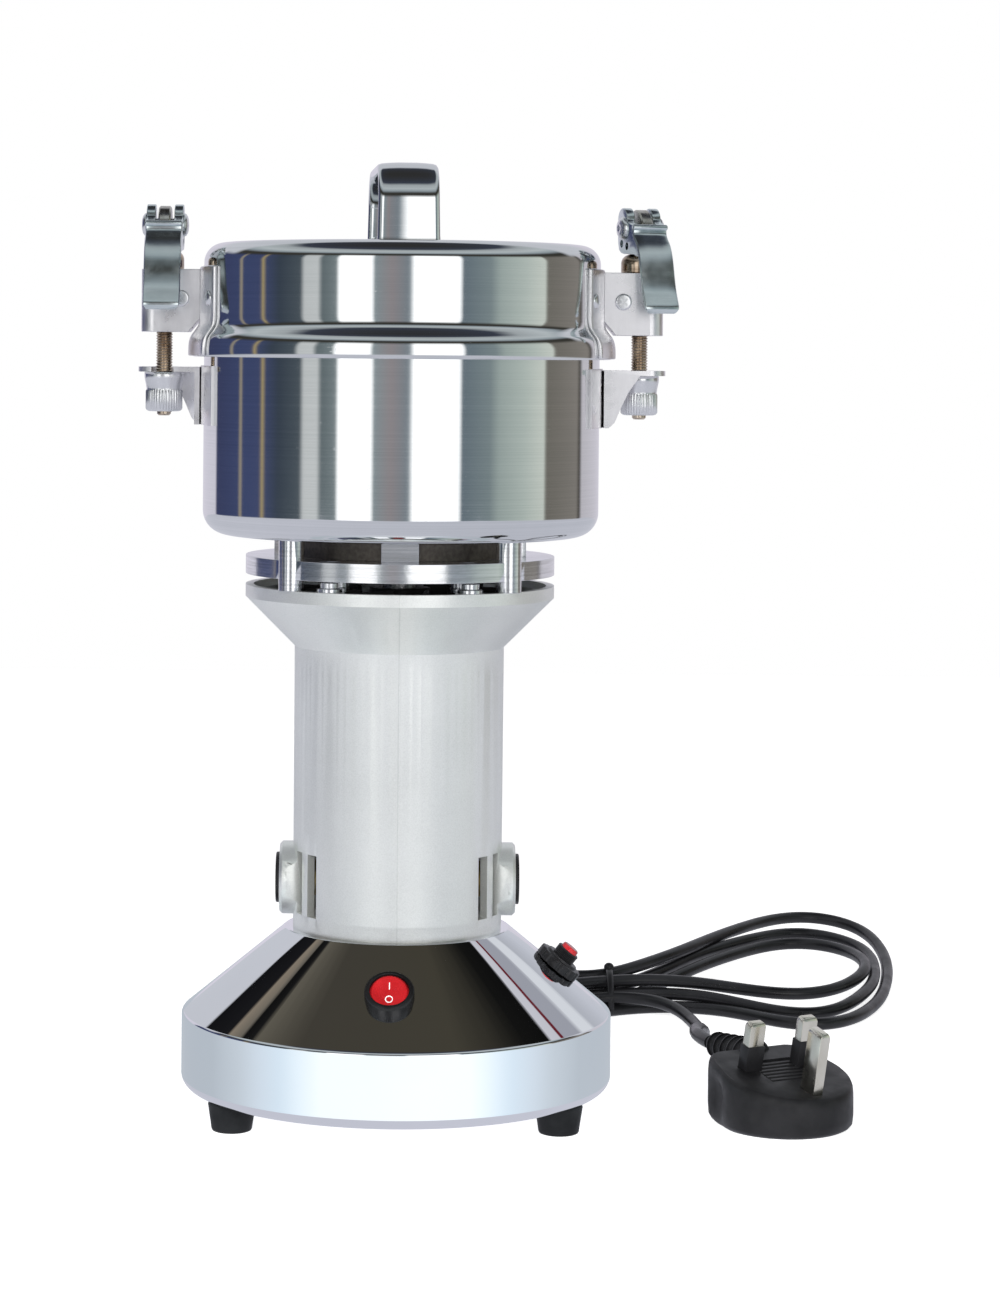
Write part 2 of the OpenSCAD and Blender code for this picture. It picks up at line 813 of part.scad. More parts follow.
module latch_saddles() {
    top = 302.5;
    profile = concat([[lid_r, top], [lid_r + saddle_t, top]], saddle_outside(), reversed(lid_outside()));
    color("#c6c9cb") both_latches() rotate([0, 0, -saddle_a]) difference() {
        rotate_extrude(angle = 2 * saddle_a, $fn = fine) polygon(profile);
        for (a = [4, 2 * saddle_a - 4]) {
            rotate([0, 0, a]) translate([0, 0, latch_screw_z]) rod_x(1.6, lid_r - 1, lid_r + 4);
        }
    }
}

module latch_boxes() {
    color("#c2c5c7") both_latches() difference() {
        translate([0, 0, box_low]) linear_extrude(height = box_high - box_low) {
            polygon(concat(
                [[lid_r - 4, -box_half]],
                arc(box_out - box_corner, -box_half + box_corner, box_corner, -90, 0),
                arc(box_out - box_corner, box_half - box_corner, box_corner, 0, 90),
                [[lid_r - 4, box_half]]
            ));
        }
        rod(lid_r + saddle_t, box_low - 1, box_high + 1, fine);
        translate([0, 0, box_low - 2]) cylinder(r1 = 78.5, r2 = lid_r + saddle_t, h = 7, $fn = fine);
        translate([75.5, -box_half + box_wall, box_low + box_wall]) {
            cube([box_out - 75.5 - box_wall - 1.5, 2 * (box_half - box_wall), box_high - box_low - 2 * box_wall]);
        }
        translate([bolt_x, 0, 0]) rod(3.3, box_low - 1, box_high + 1);
        translate([latch_screw_x, 0, latch_screw_z]) rotate([90, 0, 0]) cylinder(r = 1.6, h = 30, center = true, $fn = mid);
    }
}

module latch_screws() {
    color("silver") both_latches() {
        for (s = [-1, 1]) {
            translate([latch_screw_x, s * (box_half + 0.45), latch_screw_z])
                rotate([90, 0, 0])
                cylinder(r = 3, h = 0.9, center = true, $fn = mid);
            translate([latch_screw_x, s * (box_half - 1.4), latch_screw_z])
                rotate([90, 0, 0])
                cylinder(r = 1.55, h = 3, center = true, $fn = mid);
            rotate([0, 0, s * (saddle_a - 4)]) translate([0, 0, latch_screw_z]) {
                rod_x(1.55, lid_r + 0.3, lid_r + saddle_t + 0.6);
                rod_x(2.8, lid_r + saddle_t, lid_r + saddle_t + 0.9);
            }
        }
    }
}

module pressure_washers() {
    dome = concat(
        [[bolt_r + 0.3, box_high], [washer_r, box_high], [washer_r, box_high + 3.2]],
        arc(washer_r - 3.4, washer_top - 3.4, 3.4, 5, 90, 5),
        [[bolt_r + 0.3, washer_top]]
    );
    color("#5a4a3a") both_latches() translate([bolt_x, 0, 0]) turned(dome, mid);
}

module draw_bolt() {
    color("#a8884e") difference() {
        union() {
            rod(bolt_r, bolt_low, pin_z - 4);
            translate([0, 0, pin_z]) rotate([0, 90, 0]) cylinder(r = eye_r, h = eye_w, center = true, $fn = mid);
        }
        translate([0, 0, pin_z]) rotate([0, 90, 0]) cylinder(r = pin_r + 0.05, h = 20, center = true, $fn = mid);
    }
}

module draw_bolt_left() {
    left_bolt_frame() draw_bolt();
}

module draw_bolt_right() {
    right_bolt_frame() draw_bolt();
}

module cam_lever() {
    cheek_w = (lever_w - cheek_gap) / 2;
    top = arc(-1.1, 3.2, 4.2, 180, 0, 10);
    color("#b4c0c4") difference() {
        union() {
            lever_plate(concat(lever_face, reversed(side(lever_face, -strap_t))), lever_w);
            for (s = [-1, 1]) translate([s * (cheek_gap + cheek_w) / 2, 0, 0]) {
                lever_plate(concat(top, cheek_face), cheek_w);
            }
        }
        translate([0, 0, pin_z]) rotate([0, 90, 0]) cylinder(r = pin_r, h = 30, center = true, $fn = mid);
        for (hole = [[-1.6, -5.4], [3.2, -6.4]]) {
            translate([0, -hole[0], pin_z + hole[1]])
                rotate([0, 90, 0])
                cylinder(r = 1.4, h = 30, center = true, $fn = mid);
        }
    }
}

module cam_lever_left() {
    left_bolt_frame() cam_lever();
}

module cam_lever_right() {
    right_bolt_frame() cam_lever();
}

module lever_pin() {
    head = 1.8;
    half = lever_w / 2;
    color("#d0ccc4") translate([0, 0, pin_z]) {
        rod_x(pin_r, -half - eps, half + eps);
        for (s = [0, 180]) rotate([0, 0, s]) translate([half, 0, 0]) rotate([0, 90, 0])
            turned([[0, 0], [4.2, 0], [4, 0.6], [3, 1.3], [1.6, head - 0.1], [0, head]], mid);
    }
}

module lever_pin_left() {
    left_bolt_frame() lever_pin();
}

module lever_pin_right() {
    right_bolt_frame() lever_pin();
}

module thumb_nut() {
    mid_z = (nut_top + nut_bottom) / 2;
    color("#d8dadb") difference() {
        turned([
            [bolt_r + 0.05, nut_bottom], [nut_r - 0.8, nut_bottom], [nut_r, nut_bottom + 0.8], [nut_r, nut_top - 3],
            [nut_r + 0.6, nut_top - 1.8], [nut_r + 0.6, nut_top], [bolt_r + 0.05, nut_top]
        ], mid);
        for (a = [0:15:345]) {
            rotate([0, 0, a]) translate([nut_r + 0.25, 0, 0]) rod(0.6, nut_bottom - 1, mid_z, 16);
        }
    }
}

module thumb_nut_left() {
    left_bolt_frame() thumb_nut();
}

module thumb_nut_right() {
    right_bolt_frame() thumb_nut();
}

// ---- Cord and plug ----

module cord_gland() {
    color("#161616") rotate([0, 0, gland_turn]) translate([0, 0, gland_z]) {
        rod_x(4.9, base_r - 3, base_r + 0.4);
        rod_x(7, base_r + 0.2, base_r + 2.4);
        translate([base_r + 2.3, 0, 0]) rotate([0, 90, 0])
            cylinder(r1 = 5.5, r2 = 3.6, h = gland_len, $fn = mid);
        translate([base_r - 6.5, 0, 0]) rotate([0, 90, 0]) cylinder(r = 6.5, h = 4, $fn = 6);
    }
}

module cord_lead() {
    color("#141414") swept(lead_route, cord_d);
}

module cord_tail() {
    color("#141414") swept(tail_route, cord_d);
}

module cord_hank() {
    color("#181818") linear_extrude(height = hank_h) hull() {
        for (c = [hank_left, hank_near, hank_far]) translate([c[0], c[1]]) circle(r = c[2], $fn = 32);
    }
}

module cord_tie() {
    color("#262626") translate([tie_x - 1.2, tie_y - tie_w / 2, hank_h]) cube([2.4, tie_w, tie_high - hank_h]);
}

// Puts its children on the plug's pin face, +Y towards the earth pin
module on_pin_face() {
    translate(plug_at)
        rotate([0, 0, plug_turn])
        translate([0, 0, plug_h])
        rotate([-plug_tilt, 0, 0])
        children();
}

// A block standing on the pin face, from below the face to a height above it
module pin_block(x, y, size, low, high) {
    translate([x - size[0] / 2, y - size[1] / 2, low]) cube([size[0], size[1], high - low]);
}

module plug_body() {
    back = plug_r - 3;
    sleeve = [line_pin[0] + 1.2, line_pin[1] + 1.2];
    outline = concat(
        arc(0, 0, plug_r, -20, 200, 20),
        arc(-back + 7, -back + 5, 7, 200, 270, 5),
        arc(back - 7, -back + 5, 7, 270, 340, 5)
    );
    color("#1a1a1a") {
        difference() {
            translate(plug_at) rotate([0, 0, plug_turn]) linear_extrude(height = 30) polygon(outline);
            on_pin_face() {
                translate([-40, -40, 0]) cube([80, 80, 40]);
                for (x = [-1, 1]) pin_block(x * pin_pitch / 2, pin_row, sleeve, -pin_root, 1);
                pin_block(0, pin_row + pin_pitch, earth_pin, -pin_root, 1);
            }
        }
        translate(plug_at) rotate([0, 0, plug_turn]) translate([0, 2 - back, relief_z]) rotate([90, 0, 0]) {
            for (i = [0:3]) translate([0, 0, 2 + i * 5]) cylinder(r = relief_r - 0.4 * i, h = 3.4, $fn = mid);
            cylinder(r1 = 4.6, r2 = 3.4, h = relief_len + 2, $fn = mid);
        }
    }
}

module pin_sleeves() {
    color("black") on_pin_face() for (x = [-1, 1]) difference() {
        pin_block(x * pin_pitch / 2, pin_row, [line_pin[0] + 1.2, line_pin[1] + 1.2], -pin_root, 9);
        pin_block(x * pin_pitch / 2, pin_row, line_pin, -pin_root - 1, 10);
    }
}

module plug_pins() {
    color("#d9d4bd") on_pin_face() {
        for (x = [-1, 1]) pin_block(x * pin_pitch / 2, pin_row, line_pin, -pin_root, line_pin[2]);
        pin_block(0, pin_row + pin_pitch, earth_pin, -pin_root, earth_pin[2]);
    }
}

base_shell();
base_plate();
base_screws();
rubber_feet();
foot_screws();
switch_housing();
switch_rocker();
breaker_body();
breaker_ring();
breaker_button();
motor_housing();
brush_holders();
brush_caps();
carbon_brushes();
brush_springs();
stator_core();
field_coils();
bearing_outer_races();
end_bell();
end_bell_screws();
rotor_shaft();
armature_core();
armature_winding();
commutator();
cooling_fan();
bearing_inner_races();
lower_cutter();
upper_cutter();
cutter_spacers();
cutter_nut();
bowl();
bowl_screws();
shaft_seal();
ear_left();
ear_right();
lid_shell();
lid_gasket();
lid_handle();
handle_screws();
latch_saddles();
latch_boxes();
latch_screws();
pressure_washers();
draw_bolt_left();
draw_bolt_right();
cam_lever_left();
cam_lever_right();
lever_pin_left();
lever_pin_right();
thumb_nut_left();
thumb_nut_right();
cord_gland();
cord_lead();
cord_hank();
cord_tail();
cord_tie();
plug_body();
plug_pins();
pin_sleeves();
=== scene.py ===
# Looks of the grain mill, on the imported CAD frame. The helpers take millimetres; the scene is in metres.
import json
import math

import bmesh
import bpy
from mathutils import Matrix, Quaternion, Vector


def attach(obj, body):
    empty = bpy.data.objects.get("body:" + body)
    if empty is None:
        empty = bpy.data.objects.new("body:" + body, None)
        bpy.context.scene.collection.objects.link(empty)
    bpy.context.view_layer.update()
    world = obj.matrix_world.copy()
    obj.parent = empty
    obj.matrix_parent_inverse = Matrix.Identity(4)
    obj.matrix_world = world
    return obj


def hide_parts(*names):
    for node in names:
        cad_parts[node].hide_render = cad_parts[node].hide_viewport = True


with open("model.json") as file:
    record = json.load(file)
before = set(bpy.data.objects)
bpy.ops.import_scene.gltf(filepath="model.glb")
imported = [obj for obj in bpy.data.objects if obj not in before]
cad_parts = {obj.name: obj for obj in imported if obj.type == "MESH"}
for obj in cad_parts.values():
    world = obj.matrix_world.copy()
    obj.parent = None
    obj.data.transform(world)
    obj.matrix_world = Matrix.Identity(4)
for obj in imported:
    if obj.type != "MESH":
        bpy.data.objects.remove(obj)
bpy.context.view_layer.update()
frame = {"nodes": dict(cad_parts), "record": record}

MM = 0.001
NODES = frame["nodes"]
BODY_OF = {n: b for b, nodes in frame["record"]["behaviour"]["bodies"].items() for n in nodes}
SLOT_OF = {s["node"]: s["material_slot"] for s in frame["record"]["subparts"]}

# ---------------------------------------------------------------- sizes shared with the CAD, in millimetres

BASE_R = 77.0
SKIRT_TOP = 37.0
CONE_TOP = 66.5
NECK_R = 40.0
CONE_START_R = BASE_R - 1
CONE_SLOPE = math.atan2(CONE_TOP - SKIRT_TOP, CONE_START_R - NECK_R)
FOOT_H = 10.0
SWITCH = (-92.3, 58.0)
BREAKER = (-3.0, 57.0)
BOWL_R = 71.0
LID_R = 71.2
LID_TOP = 311.0
HANDLE_TURN = 3.5
BOLT_X = 85.4
PIN_Z = 317.5
LEVER_TURN = 19.0
LEVER_W = 13.2
CORD_D = 5.0


# ---------------------------------------------------------------- camera

CAMERA_AT = (0.0, -1200.0, 275.0)


def make_camera():
    """A level camera with a drop of the lens, so the machine's uprights stay parallel."""
    cam = bpy.data.objects.new("camera", bpy.data.cameras.new("camera"))
    bpy.context.scene.collection.objects.link(cam)
    cam.data.sensor_width = 36.0
    cam.data.lens = 92.4
    cam.data.clip_start = 0.05
    cam.data.clip_end = 30.0
    cam.data.shift_x = 0.0754
    cam.data.shift_y = -0.2346
    cam.location = Vector(CAMERA_AT) * MM
    roll = math.radians(0.5)
    cam.rotation_mode = "QUATERNION"
    cam.rotation_quaternion = Vector((0, 1, 0)).to_track_quat("-Z", "Y") @ Quaternion((0, 0, 1), roll)
    bpy.context.scene.camera = cam


make_camera()


# ---------------------------------------------------------------- node materials

class NodeTree:
    """Short ways to add and join nodes in a material's or a world's tree."""

    def __init__(self, owner):
        owner.use_nodes = True
        self.tree = owner.node_tree
        self.tree.nodes.clear()

    def add(self, kind, **settings):
        made = self.tree.nodes.new(kind)
        for key, value in settings.items():
            setattr(made, key, value)
        return made

    def join(self, source, target):
        self.tree.links.new(source, target)

    def feed(self, socket, value):
        """Links a socket as the value, or sets a number or a colour on the socket itself."""
        if isinstance(value, tuple):
            socket.default_value = (*value, 1)
        elif isinstance(value, (int, float)):
            socket.default_value = value
        else:
            self.join(value, socket)

    def math(self, operation, a, b=None, clamp=False):
        made = self.add("ShaderNodeMath", operation=operation, use_clamp=clamp)
        self.feed(made.inputs[0], a)
        if b is not None:
            self.feed(made.inputs[1], b)
        return made.outputs[0]

    def ramp(self, fac, stops):
        made = self.add("ShaderNodeValToRGB")
        elements = made.color_ramp.elements
        while len(elements) < len(stops):
            elements.new(0.5)
        for element, (place, value) in zip(elements, stops):
            element.position = place
            element.color = (*value, 1) if isinstance(value, tuple) else (value, value, value, 1)
        self.join(fac, made.inputs["Fac"])
        return made.outputs["Color"]

    def mix(self, fac, a, b):
        made = self.add("ShaderNodeMix", data_type="RGBA")
        for key, value in (("Factor", fac), ("A", a), ("B", b)):
            self.feed(made.inputs[key], value)
        return made.outputs["Result"]

    def glow(self, kind, color, strength=1.0):
        made = self.add(kind)
        self.feed(made.inputs["Color"], color)
        made.inputs["Strength"].default_value = strength
        return made.outputs[0]

    def choose(self, fac, a, b):
        made = self.add("ShaderNodeMixShader")
        for k, source in enumerate((fac, a, b)):
            self.join(source, made.inputs[k])
        return made.outputs[0]


class Shader(NodeTree):
    """One procedural material: a principled shader with the noise, ramps and bumps that it is given."""

    def __init__(self, name, metallic, roughness, **constants):
        self.material = bpy.data.materials.new(name)
        super().__init__(self.material)
        self.out = self.add("ShaderNodeOutputMaterial")
        self.shader = self.add("ShaderNodeBsdfPrincipled")
        self.join(self.shader.outputs["BSDF"], self.out.inputs["Surface"])
        self.shader.inputs["Metallic"].default_value = metallic
        self.shader.inputs["Roughness"].default_value = roughness
        for key, value in constants.items():
            self.shader.inputs[key.replace("_", " ")].default_value = value
        self.place = self.add("ShaderNodeTexCoord").outputs["Object"]
        self.normal = None

    def noise(self, scale, detail=3.0, rough=0.5, stretch=(1, 1, 1), distortion=0.0):
        mapping = self.add("ShaderNodeMapping")
        self.join(self.place, mapping.inputs["Vector"])
        mapping.inputs["Scale"].default_value = stretch
        made = self.add("ShaderNodeTexNoise")
        self.join(mapping.outputs["Vector"], made.inputs["Vector"])
        made.inputs["Scale"].default_value = scale
        made.inputs["Detail"].default_value = detail
        made.inputs["Roughness"].default_value = rough
        made.inputs["Distortion"].default_value = distortion
        return made.outputs["Fac"]

    def axis(self, letter):
        split = self.add("ShaderNodeSeparateXYZ")
        self.join(self.place, split.inputs[0])
        return split.outputs[letter]

    def blend(self, a, share, b):
        """A share of one tone and the rest of another."""
        return self.math("ADD", self.math("MULTIPLY", a, share), self.math("MULTIPLY", b, 1 - share))

    def color(self, source):
        self.join(source, self.shader.inputs["Base Color"])

    def roughness(self, fac, low, high):
        self.join(self.ramp(fac, [(0.3, low), (0.7, high)]), self.shader.inputs["Roughness"])

    def bump(self, height, distance, strength=1.0):
        made = self.add("ShaderNodeBump")
        made.inputs["Distance"].default_value = distance
        made.inputs["Strength"].default_value = strength
        self.join(height, made.inputs["Height"])
        if self.normal is not None:
            self.join(self.normal, made.inputs["Normal"])
        self.normal = made.outputs["Normal"]
        self.join(self.normal, self.shader.inputs["Normal"])

    def edges(self, low=0.52, high=0.62):
        """0 on open surface and 1 on convex edges."""
        pointy = self.add("ShaderNodeNewGeometry").outputs["Pointiness"]
        return self.ramp(pointy, [(low, 0.0), (high, 1.0)])


def tinted(s, fac, dark, light, span=(0.35, 0.65)):
    s.color(s.ramp(fac, [(span[0], dark), (span[1], light)]))


def chrome():
    s = Shader("chrome", 1.0, 0.03)
    tinted(s, s.noise(9, 4), (0.84, 0.85, 0.88), (0.90, 0.91, 0.94))
    s.roughness(s.noise(35, 5, 0.6, (1, 1, 3)), 0.015, 0.05)
    s.bump(s.noise(16, 2), 0.0001, 0.2)
    s.bump(s.noise(2600, 2), 0.000002, 0.2)
    return s.material


def turned_steel(name, dark, light, rough, line=0.000003, vertical=2600.0):
    """Polished sheet with fine level lines from the lathe, faint waves, wipes and short scratches."""
    s = Shader(name, 1.0, rough)
    lines = s.noise(1.0, 5, 0.7, (6, 6, vertical))
    clouds = s.noise(14, 4, 0.55, (1, 1, 0.6))
    tone = s.blend(lines, 0.45, clouds)
    tinted(s, tone, dark, light, (0.38, 0.62))
    s.roughness(tone, rough * 0.6, rough * 1.5)
    s.bump(s.noise(13, 2, 0.4, (1, 1, 0.3)), 0.00035, 0.30)
    s.bump(lines, line, 0.5)
    scratch = s.ramp(s.noise(55, 6, 0.75, (1, 1, 6), 1.5), [(0.67, 0.0), (0.70, 1.0)])
    s.bump(scratch, 0.00001, 0.3)
    return s.material


def sheet_steel(name, dark, light, rough, grain=(700, 60, 60), depth=0.000002):
    """Satin bent sheet with a faint grain along one way and small handling marks."""
    s = Shader(name, 1.0, rough)
    lines = s.noise(1.0, 4, 0.7, grain)
    marks = s.noise(90, 5, 0.6)
    tone = s.blend(lines, 0.3, marks)
    tinted(s, tone, dark, light, (0.38, 0.62))
    s.roughness(marks, rough * 0.75, rough * 1.4)
    s.bump(lines, depth, 0.5)
    s.bump(s.noise(150, 3), 0.00001, 0.3)
    return s.material


def silver_coat():
    """Silver flake paint over a casting, with its parting seam down the front."""
    s = Shader("silver_coat", 0.88, 0.38, Specular_IOR_Level=0.3)
    speckle = s.noise(2100, 2, 0.7)
    tone = s.blend(speckle, 0.5, s.noise(22, 3))
    base = s.ramp(tone, [(0.36, (0.80, 0.82, 0.79)), (0.5, (0.87, 0.89, 0.86)), (0.64, (0.93, 0.95, 0.92))])
    across = s.math("ABSOLUTE", s.axis("X"))
    seam = s.ramp(s.math("MULTIPLY", across, 1000.0, True), [(0.0, 1.0), (0.35, 0.0)])
    s.color(s.mix(s.math("MULTIPLY", seam, 0.22), base, (0.30, 0.32, 0.29)))
    s.roughness(s.noise(900, 3), 0.33, 0.44)
    s.bump(speckle, 0.00006, 0.35)
    s.bump(s.noise(260, 3), 0.00006, 0.25)
    s.bump(seam, 0.00012, 0.4)
    return s.material


def cast_alloy():
    """Machined casting: bright turned rim; inside the hub's radius a rougher dark brown, with a grey strip
    down the middle.
    """
    s = Shader("cast_alloy", 1.0, 0.3)
    x, y = s.axis("X"), s.axis("Y")
    radius = s.math("SQRT", s.math("ADD", s.math("MULTIPLY", x, x), s.math("MULTIPLY", y, y)))
    hub = s.ramp(s.math("MULTIPLY", radius, 10.0), [(0.402, 1.0), (0.406, 0.0)])
    side = s.ramp(s.math("ABSOLUTE", s.math("MULTIPLY", x, 100.0)), [(0.62, 1.0), (0.66, 0.0)])
    turned = s.noise(1.0, 4, 0.6, (30, 30, 1200))
    rim = s.ramp(turned, [(0.35, (0.70, 0.71, 0.72)), (0.65, (0.90, 0.91, 0.93))])
    # Dark brown over the hub's radius, under the bowl, with a grey strip down its middle
    hub_brown = s.ramp(s.noise(700, 4), [(0.3, (0.10, 0.085, 0.07)), (0.7, (0.17, 0.15, 0.125))])
    pad = s.ramp(s.noise(800, 4), [(0.3, (0.42, 0.42, 0.42)), (0.7, (0.62, 0.62, 0.62))])
    s.color(s.mix(hub, rim, s.mix(side, hub_brown, pad)))
    s.join(s.mix(hub, (0.16, 0.16, 0.16), (0.55, 0.55, 0.55)), s.shader.inputs["Roughness"])
    s.bump(s.noise(600, 4), 0.00006, 0.25)
    return s.material


def moulded(name, dark, light, rough, grain=1500, specular=0.35, depth=0.00003):
    """Moulded plastic or rubber: fine grain, soft dust tone and faintly paler wear on raised edges."""
    s = Shader(name, 0.0, rough, Specular_IOR_Level=specular)
    base = s.ramp(s.noise(70, 5, 0.6), [(0.35, dark), (0.65, light)])
    s.color(s.mix(s.math("MULTIPLY", s.edges(), 0.35), base, tuple(c * 1.6 + 0.008 for c in light)))
    s.roughness(s.noise(180, 4), rough * 0.85, min(1.0, rough * 1.2))
    s.bump(s.noise(grain, 3), depth, 0.4)
    return s.material


def rocker_red():
    s = Shader("rocker_red", 0.0, 0.22, Coat_Weight=0.4, Coat_Roughness=0.08, Subsurface_Weight=0.05)
    tinted(s, s.noise(90, 3), (0.30, 0.006, 0.009), (0.42, 0.012, 0.016))
    s.roughness(s.noise(300, 3), 0.18, 0.30)
    s.bump(s.noise(900, 2), 0.00001, 0.3)
    return s.material


def mark_white():
    s = Shader("rocker_mark", 0.0, 0.4)
    tinted(s, s.noise(400, 3), (0.72, 0.70, 0.70), (0.86, 0.85, 0.84))
    s.roughness(s.noise(600, 3), 0.3, 0.5)
    s.bump(s.noise(1500, 2), 0.00001, 0.3)
    return s.material


def bolt_thread():
    """Steel bolt: tarnished straw-brown thread below, plain grey neck and eye above."""
    s = Shader("bolt_thread", 1.0, 0.24)
    stain = s.ramp(s.noise(160, 4), [(0.35, (0.44, 0.35, 0.27)), (0.65, (0.78, 0.68, 0.56))])
    plain = s.ramp(s.noise(300, 4), [(0.35, (0.42, 0.40, 0.36)), (0.65, (0.66, 0.64, 0.60))])
    height = s.ramp(s.math("MULTIPLY", s.axis("Z"), 3.0), [(0.905, 0.0), (0.93, 1.0)])
    s.color(s.mix(height, stain, plain))
    s.roughness(s.noise(500, 4), 0.18, 0.34)
    s.bump(s.noise(1500, 3), 0.000002, 0.4)
    return s.material


def wound_copper():
    s = Shader("wound_copper", 1.0, 0.32, Coat_Weight=0.5)
    wires = s.noise(1.0, 3, 0.5, (200, 200, 2600))
    tinted(s, wires, (0.30, 0.10, 0.04), (0.78, 0.36, 0.18))
    s.roughness(wires, 0.25, 0.5)
    s.bump(wires, 0.0002, 0.6)
    return s.material


def laminations():
    s = Shader("laminations", 1.0, 0.45)
    edges = s.noise(1.0, 2, 0.5, (10, 10, 2200))
    tinted(s, edges, (0.16, 0.17, 0.19), (0.38, 0.39, 0.42))
    s.roughness(edges, 0.35, 0.6)
    s.bump(edges, 0.00008, 0.6)
    return s.material


def cable_black():
    s = Shader("cable_black", 0.0, 0.3, Specular_IOR_Level=0.45)
    tinted(s, s.noise(60, 4), (0.003, 0.003, 0.0035), (0.009, 0.009, 0.010))
    s.roughness(s.noise(140, 4), 0.24, 0.40)
    s.bump(s.noise(1800, 3), 0.00001, 0.3)
    return s.material


def pin_nickel():
    s = Shader("pin_nickel", 1.0, 0.2)
    tinted(s, s.noise(60, 4), (0.74, 0.71, 0.60), (0.86, 0.83, 0.73))
    s.roughness(s.noise(200, 4), 0.14, 0.28)
    s.bump(s.noise(700, 3, 0.5, (1, 1, 0.15)), 0.000004, 0.4)
    return s.material


LOOKS = {
    "chrome": chrome(),
    "polished_steel": turned_steel("polished_steel", (0.70, 0.72, 0.73), (0.83, 0.84, 0.85), 0.06),
    "latch_steel": sheet_steel("latch_steel", (0.86, 0.85, 0.86), (0.95, 0.94, 0.95), 0.30),
    "lever_zinc": sheet_steel("lever_zinc", (0.62, 0.69, 0.70), (0.76, 0.82, 0.83), 0.19, (60, 60, 700)),
    "bolt_plate": bolt_thread(),
    "washer_steel": sheet_steel("washer_steel", (0.22, 0.16, 0.11), (0.60, 0.49, 0.38), 0.14, (60, 60, 900)),
    "steel": sheet_steel("steel", (0.76, 0.77, 0.78), (0.90, 0.91, 0.92), 0.22, (80, 80, 80)),
    "silver_coat": silver_coat(),
    "cast_alloy": cast_alloy(),
    "black_plastic": moulded("black_plastic", (0.004, 0.004, 0.0045), (0.010, 0.010, 0.011), 0.32),
    "red_plastic": rocker_red(),
    "rubber": moulded("rubber", (0.005, 0.0055, 0.006), (0.012, 0.013, 0.014), 0.5, 1100, 0.25, 0.00006),
    "seal": moulded("seal", (0.62, 0.62, 0.58), (0.78, 0.78, 0.74), 0.5),
    "cord_rubber": cable_black(),
    "plug_plastic": moulded("plug_plastic", (0.005, 0.005, 0.0055), (0.013, 0.013, 0.014), 0.42, 1200),
    "plug_pin": pin_nickel(),
    "lamination": laminations(),
    "copper": wound_copper(),
    "holder_brass": sheet_steel("holder_brass", (0.50, 0.34, 0.12), (0.80, 0.62, 0.28), 0.3),
    "carbon": moulded("carbon", (0.015, 0.015, 0.015), (0.04, 0.04, 0.042), 0.6, 2500),
    "fan_plastic": moulded("fan_plastic", (0.006, 0.006, 0.006), (0.016, 0.016, 0.016), 0.42),
    "blade_steel": sheet_steel("blade_steel", (0.60, 0.61, 0.62), (0.84, 0.85, 0.86), 0.16, (60, 700, 60)),
}
for node_name, cad in NODES.items():
    cad.data.materials.clear()
    cad.data.materials.append(LOOKS[SLOT_OF[node_name]])


# ---------------------------------------------------------------- mesh helpers, in millimetres

def link(name, mesh):
    made = bpy.data.objects.new(name, mesh)
    bpy.context.scene.collection.objects.link(made)
    return made


def shade(mesh, sharp=38.0):
    mesh.shade_smooth()
    mesh.set_sharp_from_angle(angle=math.radians(sharp))


def mesh_object(name, points, faces, sharp=38.0):
    mesh = bpy.data.meshes.new(name)
    mesh.from_pydata([Vector(p) * MM for p in points], [], faces)
    work = bmesh.new()
    work.from_mesh(mesh)
    bmesh.ops.remove_doubles(work, verts=work.verts, dist=1e-7)
    bmesh.ops.recalc_face_normals(work, faces=work.faces)
    work.to_mesh(mesh)
    work.free()
    shade(mesh, sharp)
    return link(name, mesh)


def lofted(name, rings, sharp=38.0, closed=False):
    """Skin over rings with the same number of points; open rows get a cap at each end."""
    n, m = len(rings), len(rings[0])
    faces = []
    for i in range(n if closed else n - 1):
        j = (i + 1) % n
        faces += [(i * m + k, j * m + k, j * m + (k + 1) % m, i * m + (k + 1) % m) for k in range(m)]
    if not closed:
        faces += [tuple(range(m)), tuple((n - 1) * m + k for k in reversed(range(m)))]
    return mesh_object(name, [point for ring in rings for point in ring], faces, sharp)


def bevel(piece, width, segments=3, angle=35.0):
    made = piece.modifiers.new("edge", "BEVEL")
    made.width = width * MM
    made.segments = segments
    made.limit_method = "ANGLE"
    made.angle_limit = math.radians(angle)
    made.harden_normals = False
    made.miter_outer = "MITER_ARC"
    return piece


def finished(piece, look, body, *replaced):
    """Gives a piece its material, its body and the CAD nodes that it stands for."""
    piece.data.materials.clear()
    piece.data.materials.append(LOOKS[look])
    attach(piece, body)
    if replaced:
        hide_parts(*replaced)
    return piece


def arc(cx, cy, r, a0, a1, n=10):
    steps = [math.radians(a0 + (a1 - a0) * i / n) for i in range(n + 1)]
    return [(cx + r * math.cos(a), cy + r * math.sin(a)) for a in steps]


def smooth_line(points, per_span=6, closed=False):
    """Catmull-Rom curve through the points, in any dimension."""
    n = len(points)
    pts = [Vector(p) for p in points]
    made = []
    spans = n if closed else n - 1
    for i in range(spans):
        if closed:
            a, b, c, d = (pts[(i + k) % n] for k in (-1, 0, 1, 2))
        else:
            b, c = pts[i], pts[i + 1]
            a = pts[i - 1] if i else b * 2 - c
            d = pts[i + 2] if i + 2 < n else c * 2 - b
        for k in range(per_span):
            t = k / per_span
            made.append(0.5 * ((2 * b) + (c - a) * t + (2 * a - 5 * b + 4 * c - d) * t * t
                               + (3 * b - a - 3 * c + d) * t ** 3))
    if not closed:
        made.append(pts[-1])
    return [tuple(p) for p in made]


def box(x0, y0, x1, y1):
    return [(x0, y0), (x1, y0), (x1, y1), (x0, y1)]


def box_about(x, y, across, along):
    return box(x - across / 2, y - along / 2, x + across / 2, y + along / 2)


